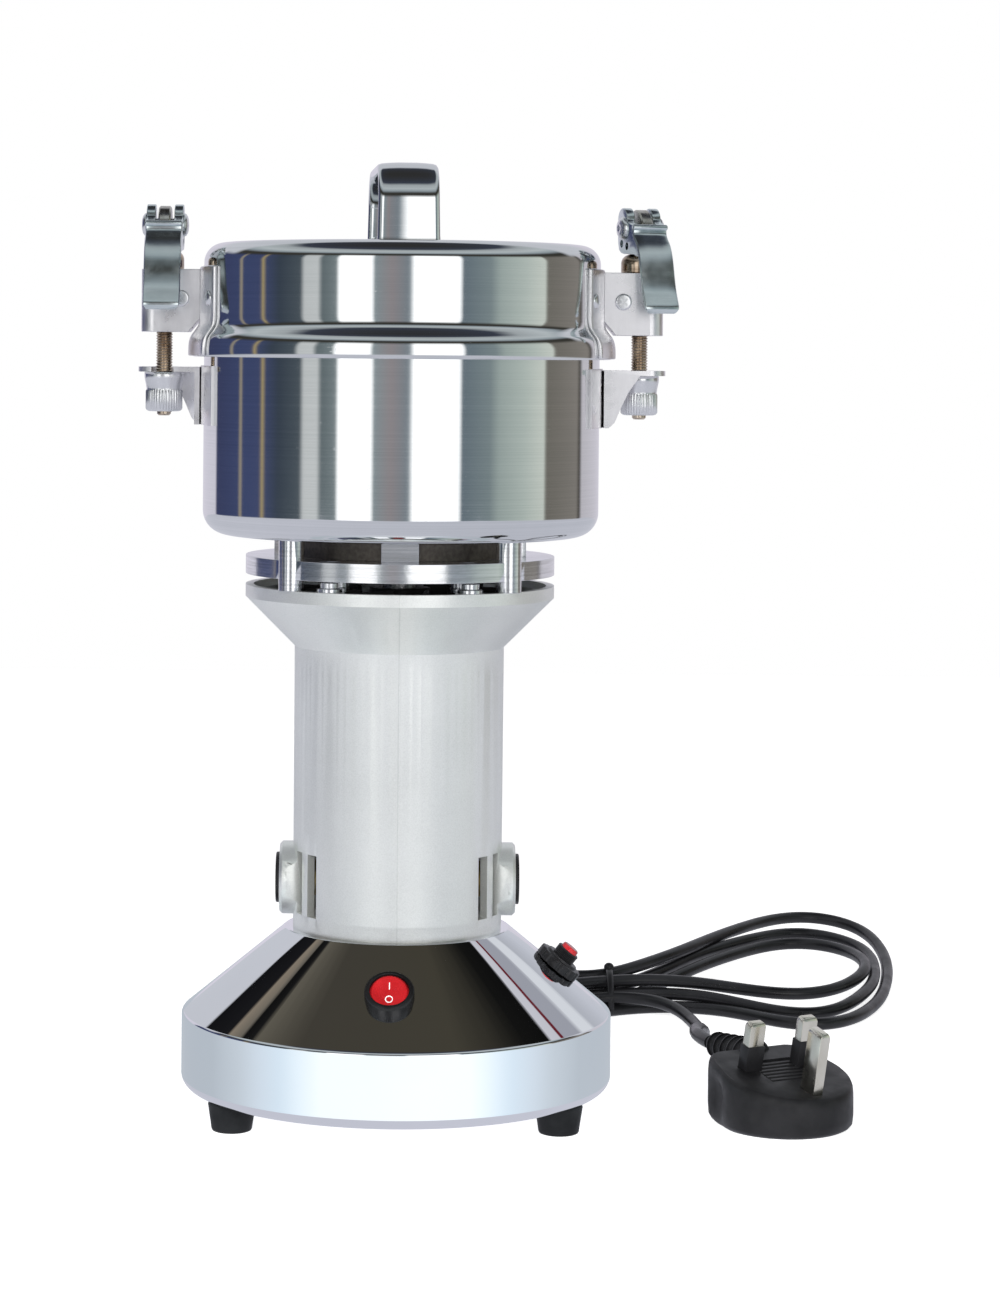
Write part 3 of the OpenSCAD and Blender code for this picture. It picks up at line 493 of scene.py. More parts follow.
def offset_line(points, d):
    made = []
    for i, p in enumerate(points):
        a, b = points[max(i - 1, 0)], points[min(i + 1, len(points) - 1)]
        dx, dy = b[0] - a[0], b[1] - a[1]
        size = math.hypot(dx, dy)
        made.append((p[0] - dy / size * d, p[1] + dx / size * d))
    return made


def lathe(name, outline, segments=192, a0=0.0, a1=360.0, sharp=38.0):
    """Turns a closed half section of (radius, height) about the upright axis, wholly or by a sector."""
    whole = a1 - a0 >= 360
    count = segments if whole else segments + 1
    points = []
    for i in range(count):
        a = math.radians(a0 + (a1 - a0) * i / segments)
        points += [(r * math.cos(a), r * math.sin(a), z) for r, z in outline]
    n = len(outline)
    faces = []
    for i in range(segments):
        j = (i + 1) % count
        for k in range(n):
            m = (k + 1) % n
            if outline[k][0] < 1e-6 and outline[m][0] < 1e-6:
                continue
            faces.append((i * n + k, j * n + k, j * n + m, i * n + m))
    if not whole:
        faces.append(tuple(range(n)))
        faces.append(tuple((count - 1) * n + k for k in reversed(range(n))))
    return mesh_object(name, points, faces, sharp)


def prism(name, outline, low, high, place=None, sharp=38.0):
    """Extrudes a flat outline of (x, y) from low to high, then moves it by a matrix in millimetres."""
    n = len(outline)
    points = [Vector((x, y, low)) for x, y in outline] + [Vector((x, y, high)) for x, y in outline]
    if place is not None:
        points = [place @ p for p in points]
    faces = [tuple(range(n)), tuple(range(n, 2 * n))]
    faces += [(k, (k + 1) % n, n + (k + 1) % n, n + k) for k in range(n)]
    return mesh_object(name, points, faces, sharp)


def joined(name, parts):
    """One object from several, with their modifiers applied."""
    work = bmesh.new()
    graph = bpy.context.evaluated_depsgraph_get()
    for part in parts:
        copy = part.evaluated_get(graph).to_mesh()
        copy.transform(part.matrix_world)
        work.from_mesh(copy)
        part.evaluated_get(graph).to_mesh_clear()
    mesh = bpy.data.meshes.new(name)
    work.to_mesh(mesh)
    work.free()
    for part in parts:
        bpy.data.objects.remove(part)
    shade(mesh)
    return link(name, mesh)


def cut_by(piece, cutters):
    """The piece with its cutters taken out of it and removed."""
    for cutter in cutters:
        cut = piece.modifiers.new("cut", "BOOLEAN")
        cut.object = cutter
        cut.solver = "EXACT"
    piece = joined(piece.name, [piece])
    for cutter in cutters:
        bpy.data.objects.remove(cutter)
    return piece


def turned_by(piece, degrees, axis="Z"):
    piece.data.transform(Matrix.Rotation(math.radians(degrees), 4, axis))
    return piece


def moved(piece, x=0.0, y=0.0, z=0.0):
    piece.data.transform(Matrix.Translation(Vector((x, y, z)) * MM))
    return piece


def cone_frame(turn, r):
    """Matrix in millimetres with +Z along the cone's normal and +X down its slope."""
    z = CONE_TOP - (r - NECK_R) * math.tan(CONE_SLOPE)
    return (Matrix.Rotation(math.radians(turn), 4, "Z") @ Matrix.Translation((r, 0, z))
            @ Matrix.Rotation(CONE_SLOPE, 4, "Y"))


def placed(piece, matrix):
    """Moves a piece's mesh by a matrix that is in millimetres."""
    in_metres = matrix.copy()
    in_metres.translation = matrix.translation * MM
    piece.data.transform(in_metres)
    return piece


def refined(node_name, width=0.35, segments=2, angle=35.0, weld=2e-5):
    """A CAD node's own shape with its seams welded and its edges rounded."""
    mesh = NODES[node_name].data.copy()
    mesh.name = node_name + "_finished"
    work = bmesh.new()
    work.from_mesh(mesh)
    bmesh.ops.remove_doubles(work, verts=work.verts, dist=weld)
    bmesh.ops.dissolve_limit(work, angle_limit=math.radians(0.6), verts=work.verts, edges=work.edges)
    work.to_mesh(mesh)
    work.free()
    shade(mesh, 30.0)
    piece = link(node_name + "_finished", mesh)
    bevel(piece, width, segments, angle)
    return finished(piece, SLOT_OF[node_name], BODY_OF[node_name], node_name)


# ---------------------------------------------------------------- base

def make_base():
    nx, nz = math.sin(CONE_SLOPE), math.cos(CONE_SLOPE)
    edge_r, shoulder_r, sheet = 4.5, 2.0, 1.5
    round_x = BASE_R - shoulder_r
    round_z = SKIRT_TOP + (nx * (CONE_START_R - round_x) - shoulder_r) / nz
    slope = 90 - math.degrees(CONE_SLOPE)
    lip = BASE_R - 15
    neck_round = 1.2
    outline = [(lip, FOOT_H)]
    outline += arc(BASE_R - edge_r, FOOT_H + edge_r, edge_r, -90, 0, 14)
    outline += arc(round_x, round_z, shoulder_r, 0, slope, 8)
    outline += arc(NECK_R - 0.3, CONE_TOP - neck_round, neck_round, slope, 90, 4)
    outline += [(25, CONE_TOP), (25, CONE_TOP - sheet), (NECK_R - 1.6, CONE_TOP - sheet)]
    outline += [(BASE_R - sheet, SKIRT_TOP - 2.2)]
    outline += arc(BASE_R - edge_r, FOOT_H + edge_r, edge_r - sheet, 0, -90, 8)
    outline += [(lip, FOOT_H + sheet)]
    finished(lathe("base_cover", outline, 256), "chrome", "machine", "base_shell")


# ---------------------------------------------------------------- switch and breaker

def terminals(at, across, top, length):
    """Two flat terminal tabs under a switch's case, by their distance from its middle line."""
    tabs = [prism("tab", box_about(0, y, 4.8, 0.8), top - length, top) for y in (-across, across)]
    return [placed(tab, at) for tab in tabs]


def make_switch():
    at = cone_frame(*SWITCH)
    bezel = [(6.75, 2.9), (7.9, 2.9), (7.9, -0.4), (8.6, -0.4)] + arc(7.2, 2.8, 1.4, 0, 90, 10)
    bezel += arc(7.25, 3.7, 0.5, 90, 180, 4)
    ring = placed(lathe("bezel", bezel, 96), at)
    cup = [(7.3, -8), (7.3, 2.95), (7.95, 2.95), (7.9, -15.4)] + arc(7.3, -15.4, 0.6, 0, -90, 3)
    cup += [(0.0, -16), (0.0, -8)]
    well = placed(lathe("well", cup, 72), at)
    case = joined("switch_case", [ring, well, *terminals(at, 4.0, -15.9, 8.1)])
    finished(case, "black_plastic", "machine", "switch_housing")


def make_rocker():
    """A slice of a ball with a shallow dish on its face, and the two generic on and off marks."""
    at = cone_frame(*SWITCH) @ Matrix.Translation((0, 0, 0.2)) @ Matrix.Rotation(math.radians(10), 4, "Y")
    ball = 7.2
    face = 3.5
    flat_r = math.sqrt(ball ** 2 - face ** 2)
    outline = [(0.0, face - 0.55), (2.5, face - 0.5), (4.4, face - 0.28), (flat_r - 0.7, face)]
    outline += arc(flat_r - 0.55, face - 0.5, 0.5, 85, 32, 4)
    low = math.degrees(math.asin(face / ball))
    outline += arc(0, 0, ball, low - 6, 6 - low, 14)
    outline += [(flat_r, -face), (0.0, -face)]
    finished(placed(lathe("rocker", outline, 96), at), "red_plastic", "switch_rocker", "switch_rocker")

    bar = moved(prism("bar", box_about(0, 0, 3.4, 0.32), face - 0.48, face - 0.36), x=-2.75)
    ring = moved(lathe("ring", box(1.05, face - 0.46, 1.35, face - 0.22), 48), x=2.75)
    marks = placed(joined("rocker_marks", [bar, ring]), at)
    marks.data.materials.append(mark_white())
    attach(marks, "switch_rocker")


def make_breaker():
    """Scalloped clamping nut with a stepped collar, threaded bush, case and domed button."""
    at = cone_frame(*BREAKER)
    lobes, count = [], 180
    for i in range(count):
        a = 2 * math.pi * i / count
        r = 8.55 - 0.75 * max(0.0, math.cos(a * 12)) ** 3
        lobes.append((r * math.cos(a), r * math.sin(a)))
    nut = placed(bevel(prism("nut", lobes, 0.1, 3.6), 0.35, 2, 50), at)
    collar = placed(lathe("collar", [(4.3, 3.5), (6.3, 3.5), (6.1, 4.4), (4.3, 4.5)], 72), at)
    finished(joined("breaker_nut", [nut, collar]), "black_plastic", "machine", "breaker_ring")
    thread = [(4.0, 4.0)]
    for i in range(6):
        z = 4.1 + i * 0.55
        thread += [(4.02, z), (4.26, z + 0.275)]
    thread += [(4.15, 7.5), (3.95, 7.7), (3.32, 7.7), (3.32, 4.0)]
    bush = placed(lathe("bush", thread, 72), at)
    case = placed(bevel(prism("case", box(-7, -10, 7, 10), -26, -3.1), 0.8, 3), at)
    neck = placed(lathe("neck", box(3.32, -3.2, 4.25, 4.05), 48), at)
    body = joined("breaker_case", [bush, case, neck, *terminals(at, 6.0, -25.9, 7.1)])
    finished(body, "black_plastic", "machine", "breaker_body")
    dome = [(0.0, -2.0), (3.18, -2.0), (3.18, 8.6)] + arc(2.5, 8.6, 0.66, 10, 90, 5) + [(0.0, 9.35)]
    finished(placed(lathe("breaker_cap", dome, 64), at), "red_plastic", "breaker_button", "breaker_button")


# ---------------------------------------------------------------- bowl and lid

def make_bowl():
    sheet, corner = 1.2, 8.5
    cx, cz = BOWL_R - corner, 207 + corner
    outline = [(9.0, 207.0)] + arc(cx, cz, corner, -90, 0, 18)
    outline += [(BOWL_R, 270.6)] + arc(BOWL_R + 0.4, 272.9, 1.4, -60, 0, 4)
    outline += arc(BOWL_R + 0.4, 273.6, 1.4, 0, 90, 5)
    outline += arc(BOWL_R - 0.2, 274.0, 1.0, 90, 180, 4)
    outline += arc(cx, cz, corner - sheet, 0, -90, 14) + [(9.0, 208.2)]
    finished(lathe("bowl_shell", outline, 256), "polished_steel", "machine", "bowl")


def lid_side():
    """Outer line of the lid from its wall down to the hem of its skirt."""
    line = [(71.2, 284.6), (71.35, 283.0), (71.75, 281.4), (72.4, 280.2), (73.2, 279.1), (74.1, 277.9),
            (74.75, 276.4), (75.1, 274.6), (75.2, 272.6)]
    return smooth_line(line, 4)


def make_lid():
    sheet, corner = 1.2, 7.0
    cx, cz = LID_R - corner, LID_TOP - corner
    outline = [(0.0, LID_TOP), (30.0, LID_TOP)] + arc(cx, cz, corner, 90, 0, 18) + lid_side()
    outline += arc(74.55, 270.95, 0.65, 0, -180, 6)
    outline += [(73.9, 274.4), (73.0, 277.0), (LID_R - sheet, 277.0)]
    outline += arc(cx, cz, corner - sheet, 0, 90, 12) + [(0.0, LID_TOP - sheet)]
    finished(lathe("lid_cover", outline, 256), "polished_steel", "lid", "lid_shell")


def make_handle():
    """Bent strap with well rounded edges, its feet flared to the lid."""
    width, out, thick, bend = 21.5, 36.0, 4.0, 15.0
    top, low = 339.5, LID_TOP
    half = [(out + 0.6, low), (out + 0.1, low + 2.4)] + arc(out - bend, top - bend, bend, 0, 90, 14)
    outer = half + [(-y, z) for y, z in reversed(half)]
    inner = offset_line(outer, thick)
    rounding = [(-0.5, 0.40), (-0.475, 0.20), (-0.42, 0.10), (-0.3, 0.04), (-0.15, 0.0), (0.0, 0.0),
                (0.15, 0.0), (0.3, 0.04), (0.42, 0.10), (0.475, 0.20), (0.5, 0.40)]
    section = rounding + [(x, 1.0 - t) for x, t in reversed(rounding)]
    rings = []
    for (y0, z0), (y1, z1) in zip(outer, inner):
        flare = 1.0 + 0.035 * max(0.0, 1 - (z0 - low) / 12.0) ** 2
        rings.append([(x * width * flare, y0 + (y1 - y0) * t, max(z0 + (z1 - z0) * t, low))
                      for x, t in section])
    strap = lofted("strap", rings, 50)
    feet = []
    for side in (-1, 1):
        outline = [(x, side * y) for x, y in box(-10.6, 22.5, 10.6, 33.5)]
        feet.append(bevel(prism("foot", outline, low, low + 3.0), 0.9, 3))
    handle = turned_by(joined("handle", [strap, *feet]), HANDLE_TURN)
    finished(handle, "polished_steel", "lid", "lid_handle")


# ---------------------------------------------------------------- latches

SIDES = [("left", -1, 0.0), ("right", 1, LEVER_TURN)]      # name, side, turn of the bolt and its lever


def make_saddles():
    """Plates on the lid's wall and over its shoulder, with softened rims."""
    parts = []
    thick = 1.5
    inner = [(LID_R, 302.5), (LID_R, 292.0)] + lid_side() + [(75.2, 270.5)]
    outer = [(r + thick, z + (0.1 if z < 281 else 0)) for r, z in inner]
    outline = [(LID_R, 302.5)] + arc(LID_R + thick - 0.7, 301.8, 0.7, 90, 0, 4)
    outline += outer[1:] + inner[::-1][:-1]
    for turn in (0, 180):
        parts.append(bevel(lathe("plate", outline, 40, turn - 24, turn + 24), 0.45, 3, 60))
    finished(joined("saddle_plates", parts), "latch_steel", "lid", "latch_saddles")


def make_thread(low, high, pitch=1.0):
    """M6 thread: rows a quarter of the pitch apart that climb one pitch in each turn."""
    steps, root = 36, 2.5
    rows = int((high - low) / pitch * 4)
    wave = [2.52, 2.80, 3.0, 2.80]
    points, faces = [], []
    for i in range(rows + 1):
        r = wave[i % 4] if 2 < i < rows - 2 else root
        for k in range(steps):
            a = 2 * math.pi * k / steps
            z = low + i * pitch / 4 + pitch * k / steps
            points.append((r * math.cos(a), r * math.sin(a), min(max(z, low), high)))
    for i in range(rows):
        here, above = i * steps, (i + 1) * steps
        faces += [(here + k, here + k + 1, above + k + 1, above + k) for k in range(steps - 1)]
        if i + 5 <= rows:
            faces.append((here + steps - 1, here + 4 * steps, here + 5 * steps, above + steps - 1))
    return mesh_object("thread", points, faces, 70)


def make_bolts():
    """M6 draw bolts: a 1 mm pitch thread below, a plain neck and an eye for the lever's pin."""
    shank = [(0, 249.0), (1.9, 249.0), (2.5, 249.6), (2.5, 300.0), (3.0, 300.4), (3.0, 311.5), (0, 311.5)]
    ring = [(2.52, -2.2), (6.3, -2.2), (6.8, -1.7), (6.8, 1.7), (6.3, 2.2), (2.52, 2.2)]
    for name, side, turn in SIDES:
        core = lathe("core", shank, 48)
        eye = moved(turned_by(lathe("eye", ring, 72), 90, "Y"), z=PIN_Z)
        bolt = turned_by(joined("eye_bolt_" + name, [make_thread(249.6, 300.0), core, eye]), turn)
        finished(moved(bolt, x=side * BOLT_X), "bolt_plate", "draw_bolt_" + name, "draw_bolt_" + name)


# The lever's plates in its own plane: (forward, up) from the pin
LEVER_WEB = [(8.5, 1.1), (8.9, -0.6), (9.1, -2.1), (10.2, -3.6), (12.2, -5.6), (13.8, -8.2), (15.1, -11.4),
             (16.1, -14.9), (17.0, -18.5), (18.2, -22.3), (19.8, -25.8), (20.8, -28.2), (20.7, -29.7),
             (19.6, -30.6)]
LEVER_T = 1.6
CHEEK_TOP = (-1.1, 3.2, 4.2)
CHEEK_FRONT = [(8.4, -0.8), (8.6, -2.2), (9.8, -4.0), (11.7, -6.0), (13.1, -8.4), (13.6, -10.0)]
CHEEK_BACK = [(12.2, -10.4), (9.4, -9.6), (5.0, -9.4), (2.4, -9.15), (0.0, -9.15), (-2.5, -8.7),
              (-4.2, -7.6), (-5.0, -5.6), (-5.3, -3.0)]
CHEEK_HOLES = [(-1.6, -5.4), (3.2, -6.4)]


def lever_frame(side, turn):
    """Matrix in millimetres from (forward, up, across) at the pin to the row frame at rest."""
    axes = Matrix(((0, 0, 1, 0), (-1, 0, 0, 0), (0, 1, 0, 0), (0, 0, 0, 1)))
    return Matrix.Translation((side * BOLT_X, 0, PIN_Z)) @ Matrix.Rotation(math.radians(turn), 4, "Z") @ axes


def make_lever_web():
    """Bent plate from the cross-bar down to the lip: softened rims and rounded lip corners."""
    line = smooth_line(LEVER_WEB, 5)
    back = offset_line(line, -LEVER_T)
    across = [(-1, 0.45), (-0.94, 0.12), (-0.8, 0), (-0.4, 0), (0, 0), (0.4, 0), (0.8, 0), (0.94, 0.12),
              (1, 0.45)]
    section = across + [(t, 1.0 - rim) for t, rim in reversed(across)]
    rings = []
    for (x0, y0), (x1, y1) in zip(line, back):
        end = max(0.0, (-y0 - 27.4) / 3.2)
        half = LEVER_W / 2 * (1 - 0.13 * min(1.0, end) ** 2.5)
        rings.append([(x0 + (x1 - x0) * rim, y0 + (y1 - y0) * rim, half * t) for t, rim in section])
    return lofted("web", rings, 55)


def make_cheek(s):
    """Side plate of a lever round its pin, with two drilled holes."""
    low, high = sorted((s * 3.35, s * LEVER_W / 2))
    outline = arc(*CHEEK_TOP, 175, 5, 16) + [(3.1, 3.2), (4.4, 2.1), (7.9, 1.1)]
    outline += smooth_line(CHEEK_FRONT, 4) + CHEEK_BACK
    cheek = bevel(prism("cheek", outline, low, high), 0.5, 3, 40)
    return cut_by(cheek, [moved(lathe("drill", box(0, -9, 1.4, 9), 32), x=x, y=y) for x, y in CHEEK_HOLES])


def make_levers():
    half = LEVER_W / 2
    ridge = [(0, -half)] + arc(0.5, -half + 0.5, 0.6, 270, 360, 4)
    ridge += arc(0.5, half - 0.5, 0.6, 0, 90, 4) + [(0, half)]
    for name, side, turn in SIDES:
        bar = moved(lathe("bar", ridge, 28), x=8.55, y=0.25)
        lever = joined("lever_" + name, [make_lever_web(), make_cheek(-1), make_cheek(1), bar])
        placed(lever, lever_frame(side, turn))
        finished(lever, "lever_zinc", "lever_" + name, "cam_lever_" + name)


def make_pins():
    """Rivet pins: shank through the eye and domed heads with a small dimple."""
    half, head = LEVER_W / 2, 1.8
    dome = [(4.1, half), (4.2, half + 0.35), (3.9, half + 0.9), (3.1, half + 1.45),
            (2.0, half + head - 0.06), (1.2, half + head), (0.7, half + head - 0.25), (0.0, half + head - 0.3)]
    outline = [(0.0, -half - head + 0.3)] + [(r, -z) for r, z in reversed(dome[:-1])]
    outline += [(2.45, -half), (2.45, half)] + dome
    for name, side, turn in SIDES:
        pin = placed(lathe("rivet_pin_" + name, outline, 56), lever_frame(side, turn))
        finished(pin, "steel", "lever_" + name, "lever_pin_" + name)


def make_thumb_nuts():
    """Turned nuts: plain flange and waist, knurled lower half, chamfered end with the thread showing."""
    rows = [(5.2, 250.5, 0), (5.9, 250.7, 0), (6.2, 251.0, 0.5), (6.45, 251.5, 1), (6.45, 257.8, 1),
            (6.3, 258.3, 0), (6.35, 258.8, 0), (6.6, 260.4, 0), (7.0, 262.3, 0), (7.1, 263.0, 0),
            (7.1, 264.35, 0), (6.9, 264.6, 0), (3.06, 264.6, 0), (3.06, 250.9, 0), (3.5, 250.5, 0)]
    steps, teeth, depth = 240, 40, 0.17
    rings = []
    for k in range(steps):
        a = 2 * math.pi * k / steps
        tooth = depth * math.cos(a * teeth)
        rings.append([((r + tooth * g) * math.cos(a), (r + tooth * g) * math.sin(a), z) for r, z, g in rows])
    for name, side, _ in SIDES:
        nut = moved(lofted("knurled_nut_" + name, rings, 40, True), x=side * BOLT_X)
        finished(nut, "steel", "thumb_nut_" + name, "thumb_nut_" + name)


def make_screw_head():
    head = [(0.0, 0.0), (3.0, 0.0), (3.0, 0.35)] + arc(2.3, 0.30, 0.7, 10, 90, 5) + [(0.0, 1.02)]
    slots = [turned_by(prism("slot", box_about(0, 0, 3.0, 0.56), 0.45, 1.4), a) for a in (45, 135)]
    return cut_by(lathe("head", head, 48), slots)


def make_screws():
    """Cross-recessed heads on the latch boxes and domed rivets on the saddles."""
    dome = [(0.0, 0.0), (2.8, 0.0), (2.6, 0.45), (1.9, 0.85), (1.0, 1.05), (0.0, 1.1)]
    parts = []
    for turn in (0, 180):
        for s in (-1, 1):
            head = moved(turned_by(make_screw_head(), s * -90, "X"), x=79.0, y=s * 8.4, z=291.0)
            rivet = moved(turned_by(lathe("rivet", dome, 40), 90, "Y"), x=72.65, z=291.0)
            parts += [turned_by(head, turn), turned_by(rivet, turn + s * 20)]
    finished(joined("latch_screw_heads", parts), "steel", "lid", "latch_screws")


def make_washers():
    parts = []
    for side in (-1, 1):
        dome = [(3.3, 301.5), (6.5, 301.5), (6.85, 301.85), (6.85, 304.4)]
        dome += arc(3.45, 304.9, 3.4, 0, 90, 12) + [(3.3, 308.3)]
        parts.append(moved(lathe("washer", dome, 72), x=side * BOLT_X))
    finished(joined("domed_washers", parts), "washer_steel", "lid", "pressure_washers")


# ---------------------------------------------------------------- cord

# Points, in metres. The first and the last stretch are the route that part.scad sweeps.
LEAD = [(0.052, 0.090, 0.023), (0.055, 0.096, 0.021), (0.059, 0.106, 0.015), (0.063, 0.118, 0.008),
        (0.066, 0.131, 0.004), (0.069, 0.144, 0.003), (0.074, 0.157, 0.003)]
TAIL = [(0.106, 0.166, 0.008), (0.113, 0.158, 0.0072), (0.1176, 0.147, 0.0054), (0.1198, 0.135, 0.004),
        (0.1206, 0.122, 0.0042), (0.1206, 0.109, 0.006), (0.1198, 0.097, 0.0086), (0.1184, 0.085, 0.0118),
        (0.1164, 0.073, 0.015), (0.1142, 0.061, 0.018), (0.1122, 0.050, 0.0199), (0.1108, 0.041, 0.0206),
        (0.1106, 0.034, 0.0206), (0.1122, 0.0283, 0.0205), (0.1152, 0.0225, 0.0205)]
LOOP_1 = [(0.084, 0.168, 0.0026), (0.094, 0.1735, 0.0028), (0.108, 0.1775, 0.003), (0.122, 0.176, 0.003),
          (0.136, 0.1715, 0.0028), (0.147, 0.159, 0.0026), (0.1578, 0.147, 0.0026), (0.168, 0.1425, 0.0026),
          (0.181, 0.15, 0.0026), (0.1935, 0.1705, 0.003), (0.203, 0.195, 0.0045), (0.209, 0.222, 0.0068),
          (0.2115, 0.237, 0.009), (0.212, 0.252, 0.0115), (0.21, 0.275, 0.015), (0.202, 0.293, 0.018),
          (0.185, 0.3, 0.02), (0.17, 0.292, 0.02), (0.16, 0.2805, 0.02), (0.14, 0.2525, 0.019),
          (0.1195, 0.22, 0.0175), (0.1055, 0.203, 0.016), (0.098, 0.196, 0.015), (0.09, 0.19, 0.0138),
          (0.078, 0.1845, 0.013)]
LOOP_2 = [(0.088, 0.1776, 0.0132), (0.1, 0.181, 0.0132), (0.112, 0.182, 0.013), (0.1246, 0.1815, 0.0122),
          (0.141, 0.18, 0.01), (0.1573, 0.1777, 0.0084), (0.1698, 0.1784, 0.008), (0.183, 0.187, 0.0086),
          (0.193, 0.198, 0.0105), (0.199, 0.21, 0.0128), (0.2, 0.222, 0.0138), (0.1985, 0.236, 0.014),
          (0.1935, 0.249, 0.0144), (0.184, 0.261, 0.0146), (0.174, 0.264, 0.0146), (0.163, 0.259, 0.0142),
          (0.152, 0.249, 0.0134), (0.138, 0.233, 0.0124), (0.125, 0.216, 0.011), (0.113, 0.2025, 0.0086),
          (0.102, 0.1925, 0.0052), (0.092, 0.1864, 0.0032), (0.078, 0.1845, 0.0026)]
LOOP_3 = [(0.088, 0.178, 0.0078), (0.102, 0.1795, 0.0078), (0.116, 0.18, 0.0078), (0.124, 0.178, 0.0078),
          (0.133, 0.1765, 0.0066), (0.148, 0.167, 0.0046), (0.1633, 0.1595, 0.0034), (0.1735, 0.16, 0.0035),
          (0.183, 0.1665, 0.0048), (0.19, 0.1775, 0.0065), (0.1975, 0.1943, 0.0076),
          (0.2018, 0.2085, 0.0088), (0.2045, 0.2274, 0.0106), (0.205, 0.245, 0.0128),
          (0.2015, 0.2585, 0.0144), (0.194, 0.268, 0.0156), (0.182, 0.278, 0.0164), (0.171, 0.275, 0.0166),
          (0.1583, 0.265, 0.0162), (0.145, 0.252, 0.0154), (0.13, 0.238, 0.0138), (0.119, 0.222, 0.012),
          (0.1075, 0.206, 0.0104), (0.096, 0.1935, 0.0088), (0.08, 0.185, 0.0078)]
TURN_AT = (0.043, 0.180)


def left_turn(radius, z_in, z_mid, z_out):
    """Points round the hidden left end of a loop, from its far side to its near side."""
    start, sweep, steps = 62, 236, 10
    made = []
    for i in range(steps + 1):
        a = math.radians(start + sweep * i / steps)
        t = i / steps
        z = z_in + (z_mid - z_in) * min(1.0, 2 * t) if t < 0.5 else z_mid + (z_out - z_mid) * (2 * t - 1)
        made.append((TURN_AT[0] + radius * math.cos(a), TURN_AT[1] + radius * math.sin(a), z))
    return made


def evenly(line, step):
    """The same route with its points a step apart."""
    made = [line[0]]
    for target in line[1:]:
        while (target - made[-1]).length > step:
            made.append(made[-1] + (target - made[-1]).normalized() * step)
    return made + [line[-1]]


def make_cord():
    """The cord as one smooth curve, from its exit through three loops to the plug; and its length."""
    step, passes = 0.0025, 32
    route = LEAD + LOOP_1 + left_turn(0.0215, 0.013, 0.013, 0.0132)
    route += LOOP_2 + left_turn(0.0205, 0.0026, 0.0052, 0.0078)
    route += LOOP_3 + left_turn(0.026, 0.0078, 0.0074, 0.0070)
    route += [(0.073, 0.1635, 0.0078), (0.086, 0.171, 0.008), (0.097, 0.1705, 0.008)] + TAIL
    line = evenly([Vector(p) for p in smooth_line(route, 6)], step)
    for _ in range(passes):
        line = [line[0]] + [line[i] * 0.5 + (line[i - 1] + line[i + 1]) * 0.25
                            for i in range(1, len(line) - 1)] + [line[-1]]
    curve = bpy.data.curves.new("mains_cord", "CURVE")
    curve.dimensions = "3D"
    curve.bevel_depth = CORD_D / 2 * MM
    curve.bevel_resolution = 5
    curve.use_fill_caps = True
    spline = curve.splines.new("POLY")
    spline.points.add(len(line) - 1)
    for point, p in zip(spline.points, line):
        point.co = (*p, 1)
    spline.use_smooth = True
    cable = bpy.data.objects.new("mains_cord", curve)
    bpy.context.scene.collection.objects.link(cable)
    curve.materials.append(LOOKS["cord_rubber"])
    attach(cable, "machine")
    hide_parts("cord_lead", "cord_hank", "cord_tail")
    length = sum((b - a).length for a, b in zip(line, line[1:]))
    return cable, length


TIE_AT = (88.0, 180.0, 8.6)
TIE_LOOP = [(167.2, 8.2), (167.4, 2.5), (171.0, 0.8), (178, 0.7), (187, 0.8), (190.4, 3.0), (192.4, 7.5),
            (192.6, 13.4), (190.6, 16.8), (186, 17.2), (177.5, 16.6), (170, 12.0)]


def make_tie():
    """Thin black tie round the bundle, with a small lock on top."""
    steps, thick, half = 10, 0.6, 1.3
    rings = []
    for y, z in smooth_line(TIE_LOOP, 5, True):
        out = Vector((y - TIE_AT[1], z - TIE_AT[2])).normalized()
        ring = []
        for k in range(steps):
            a = 2 * math.pi * k / steps
            push = thick * math.sin(a)
            ring.append((TIE_AT[0] + half * math.cos(a), y + out.x * push, z + out.y * push))
        rings.append(ring)
    lock = lathe("lock", [(0, 0), (1.7, 0.2), (2.1, 0.9), (1.9, 2.0), (1.0, 2.8), (0, 3.0)], 24)
    moved(lock, x=TIE_AT[0], y=183, z=16.8)
    tie = joined("cord_band", [lofted("band", rings, 60, True), lock])
    return finished(tie, "black_plastic", "machine", "cord_tie")


# ---------------------------------------------------------------- plug

PLUG_AT = (137.5, -18.5)
PLUG_TURN = 208.5
PLUG_R = 24.5
PLUG_H = 19.0
PLUG_TILT = 12.3
PIN_ROW = -5.2
PIN_PITCH = 22.2
LINE_PIN = (6.35, 4.0, 17.7)
EARTH_PIN = (4.0, 8.0, 22.7)


def plug_frame():
    return Matrix.Translation((*PLUG_AT, 0)) @ Matrix.Rotation(math.radians(PLUG_TURN), 4, "Z")


def pin_face():
    tilt = Matrix.Rotation(math.radians(-PLUG_TILT), 4, "X")
    return plug_frame() @ Matrix.Translation((0, 0, PLUG_H)) @ tilt


def plug_outline(grow=0.0, grip=0.0):
    """Plan of the plug: broad round front, waisted sides for the fingers, rounded back corners."""
    back = PLUG_R - 3
    points = arc(0, 0, PLUG_R, 2, 178, 40)
    left = [(-24.2, -2.5), (-23.6 + grip * 0.6, -5.5), (-22.6 + grip, -9.5), (-22.1 + grip * 0.7, -13.0)]
    points += left + arc(-back + 7.2, -back + 6.5, 6.6, 190, 270, 8)
    points += arc(back - 7.2, -back + 6.5, 6.6, 270, 350, 8) + [(-x, y) for x, y in reversed(left)]
    return [(x * (1 + grow / PLUG_R), y * (1 + grow / PLUG_R)) for x, y in points]


def pin_pocket(x, y, across, along):
    return placed(prism("pocket", box_about(x, y, across, along), -4, 3), pin_face())


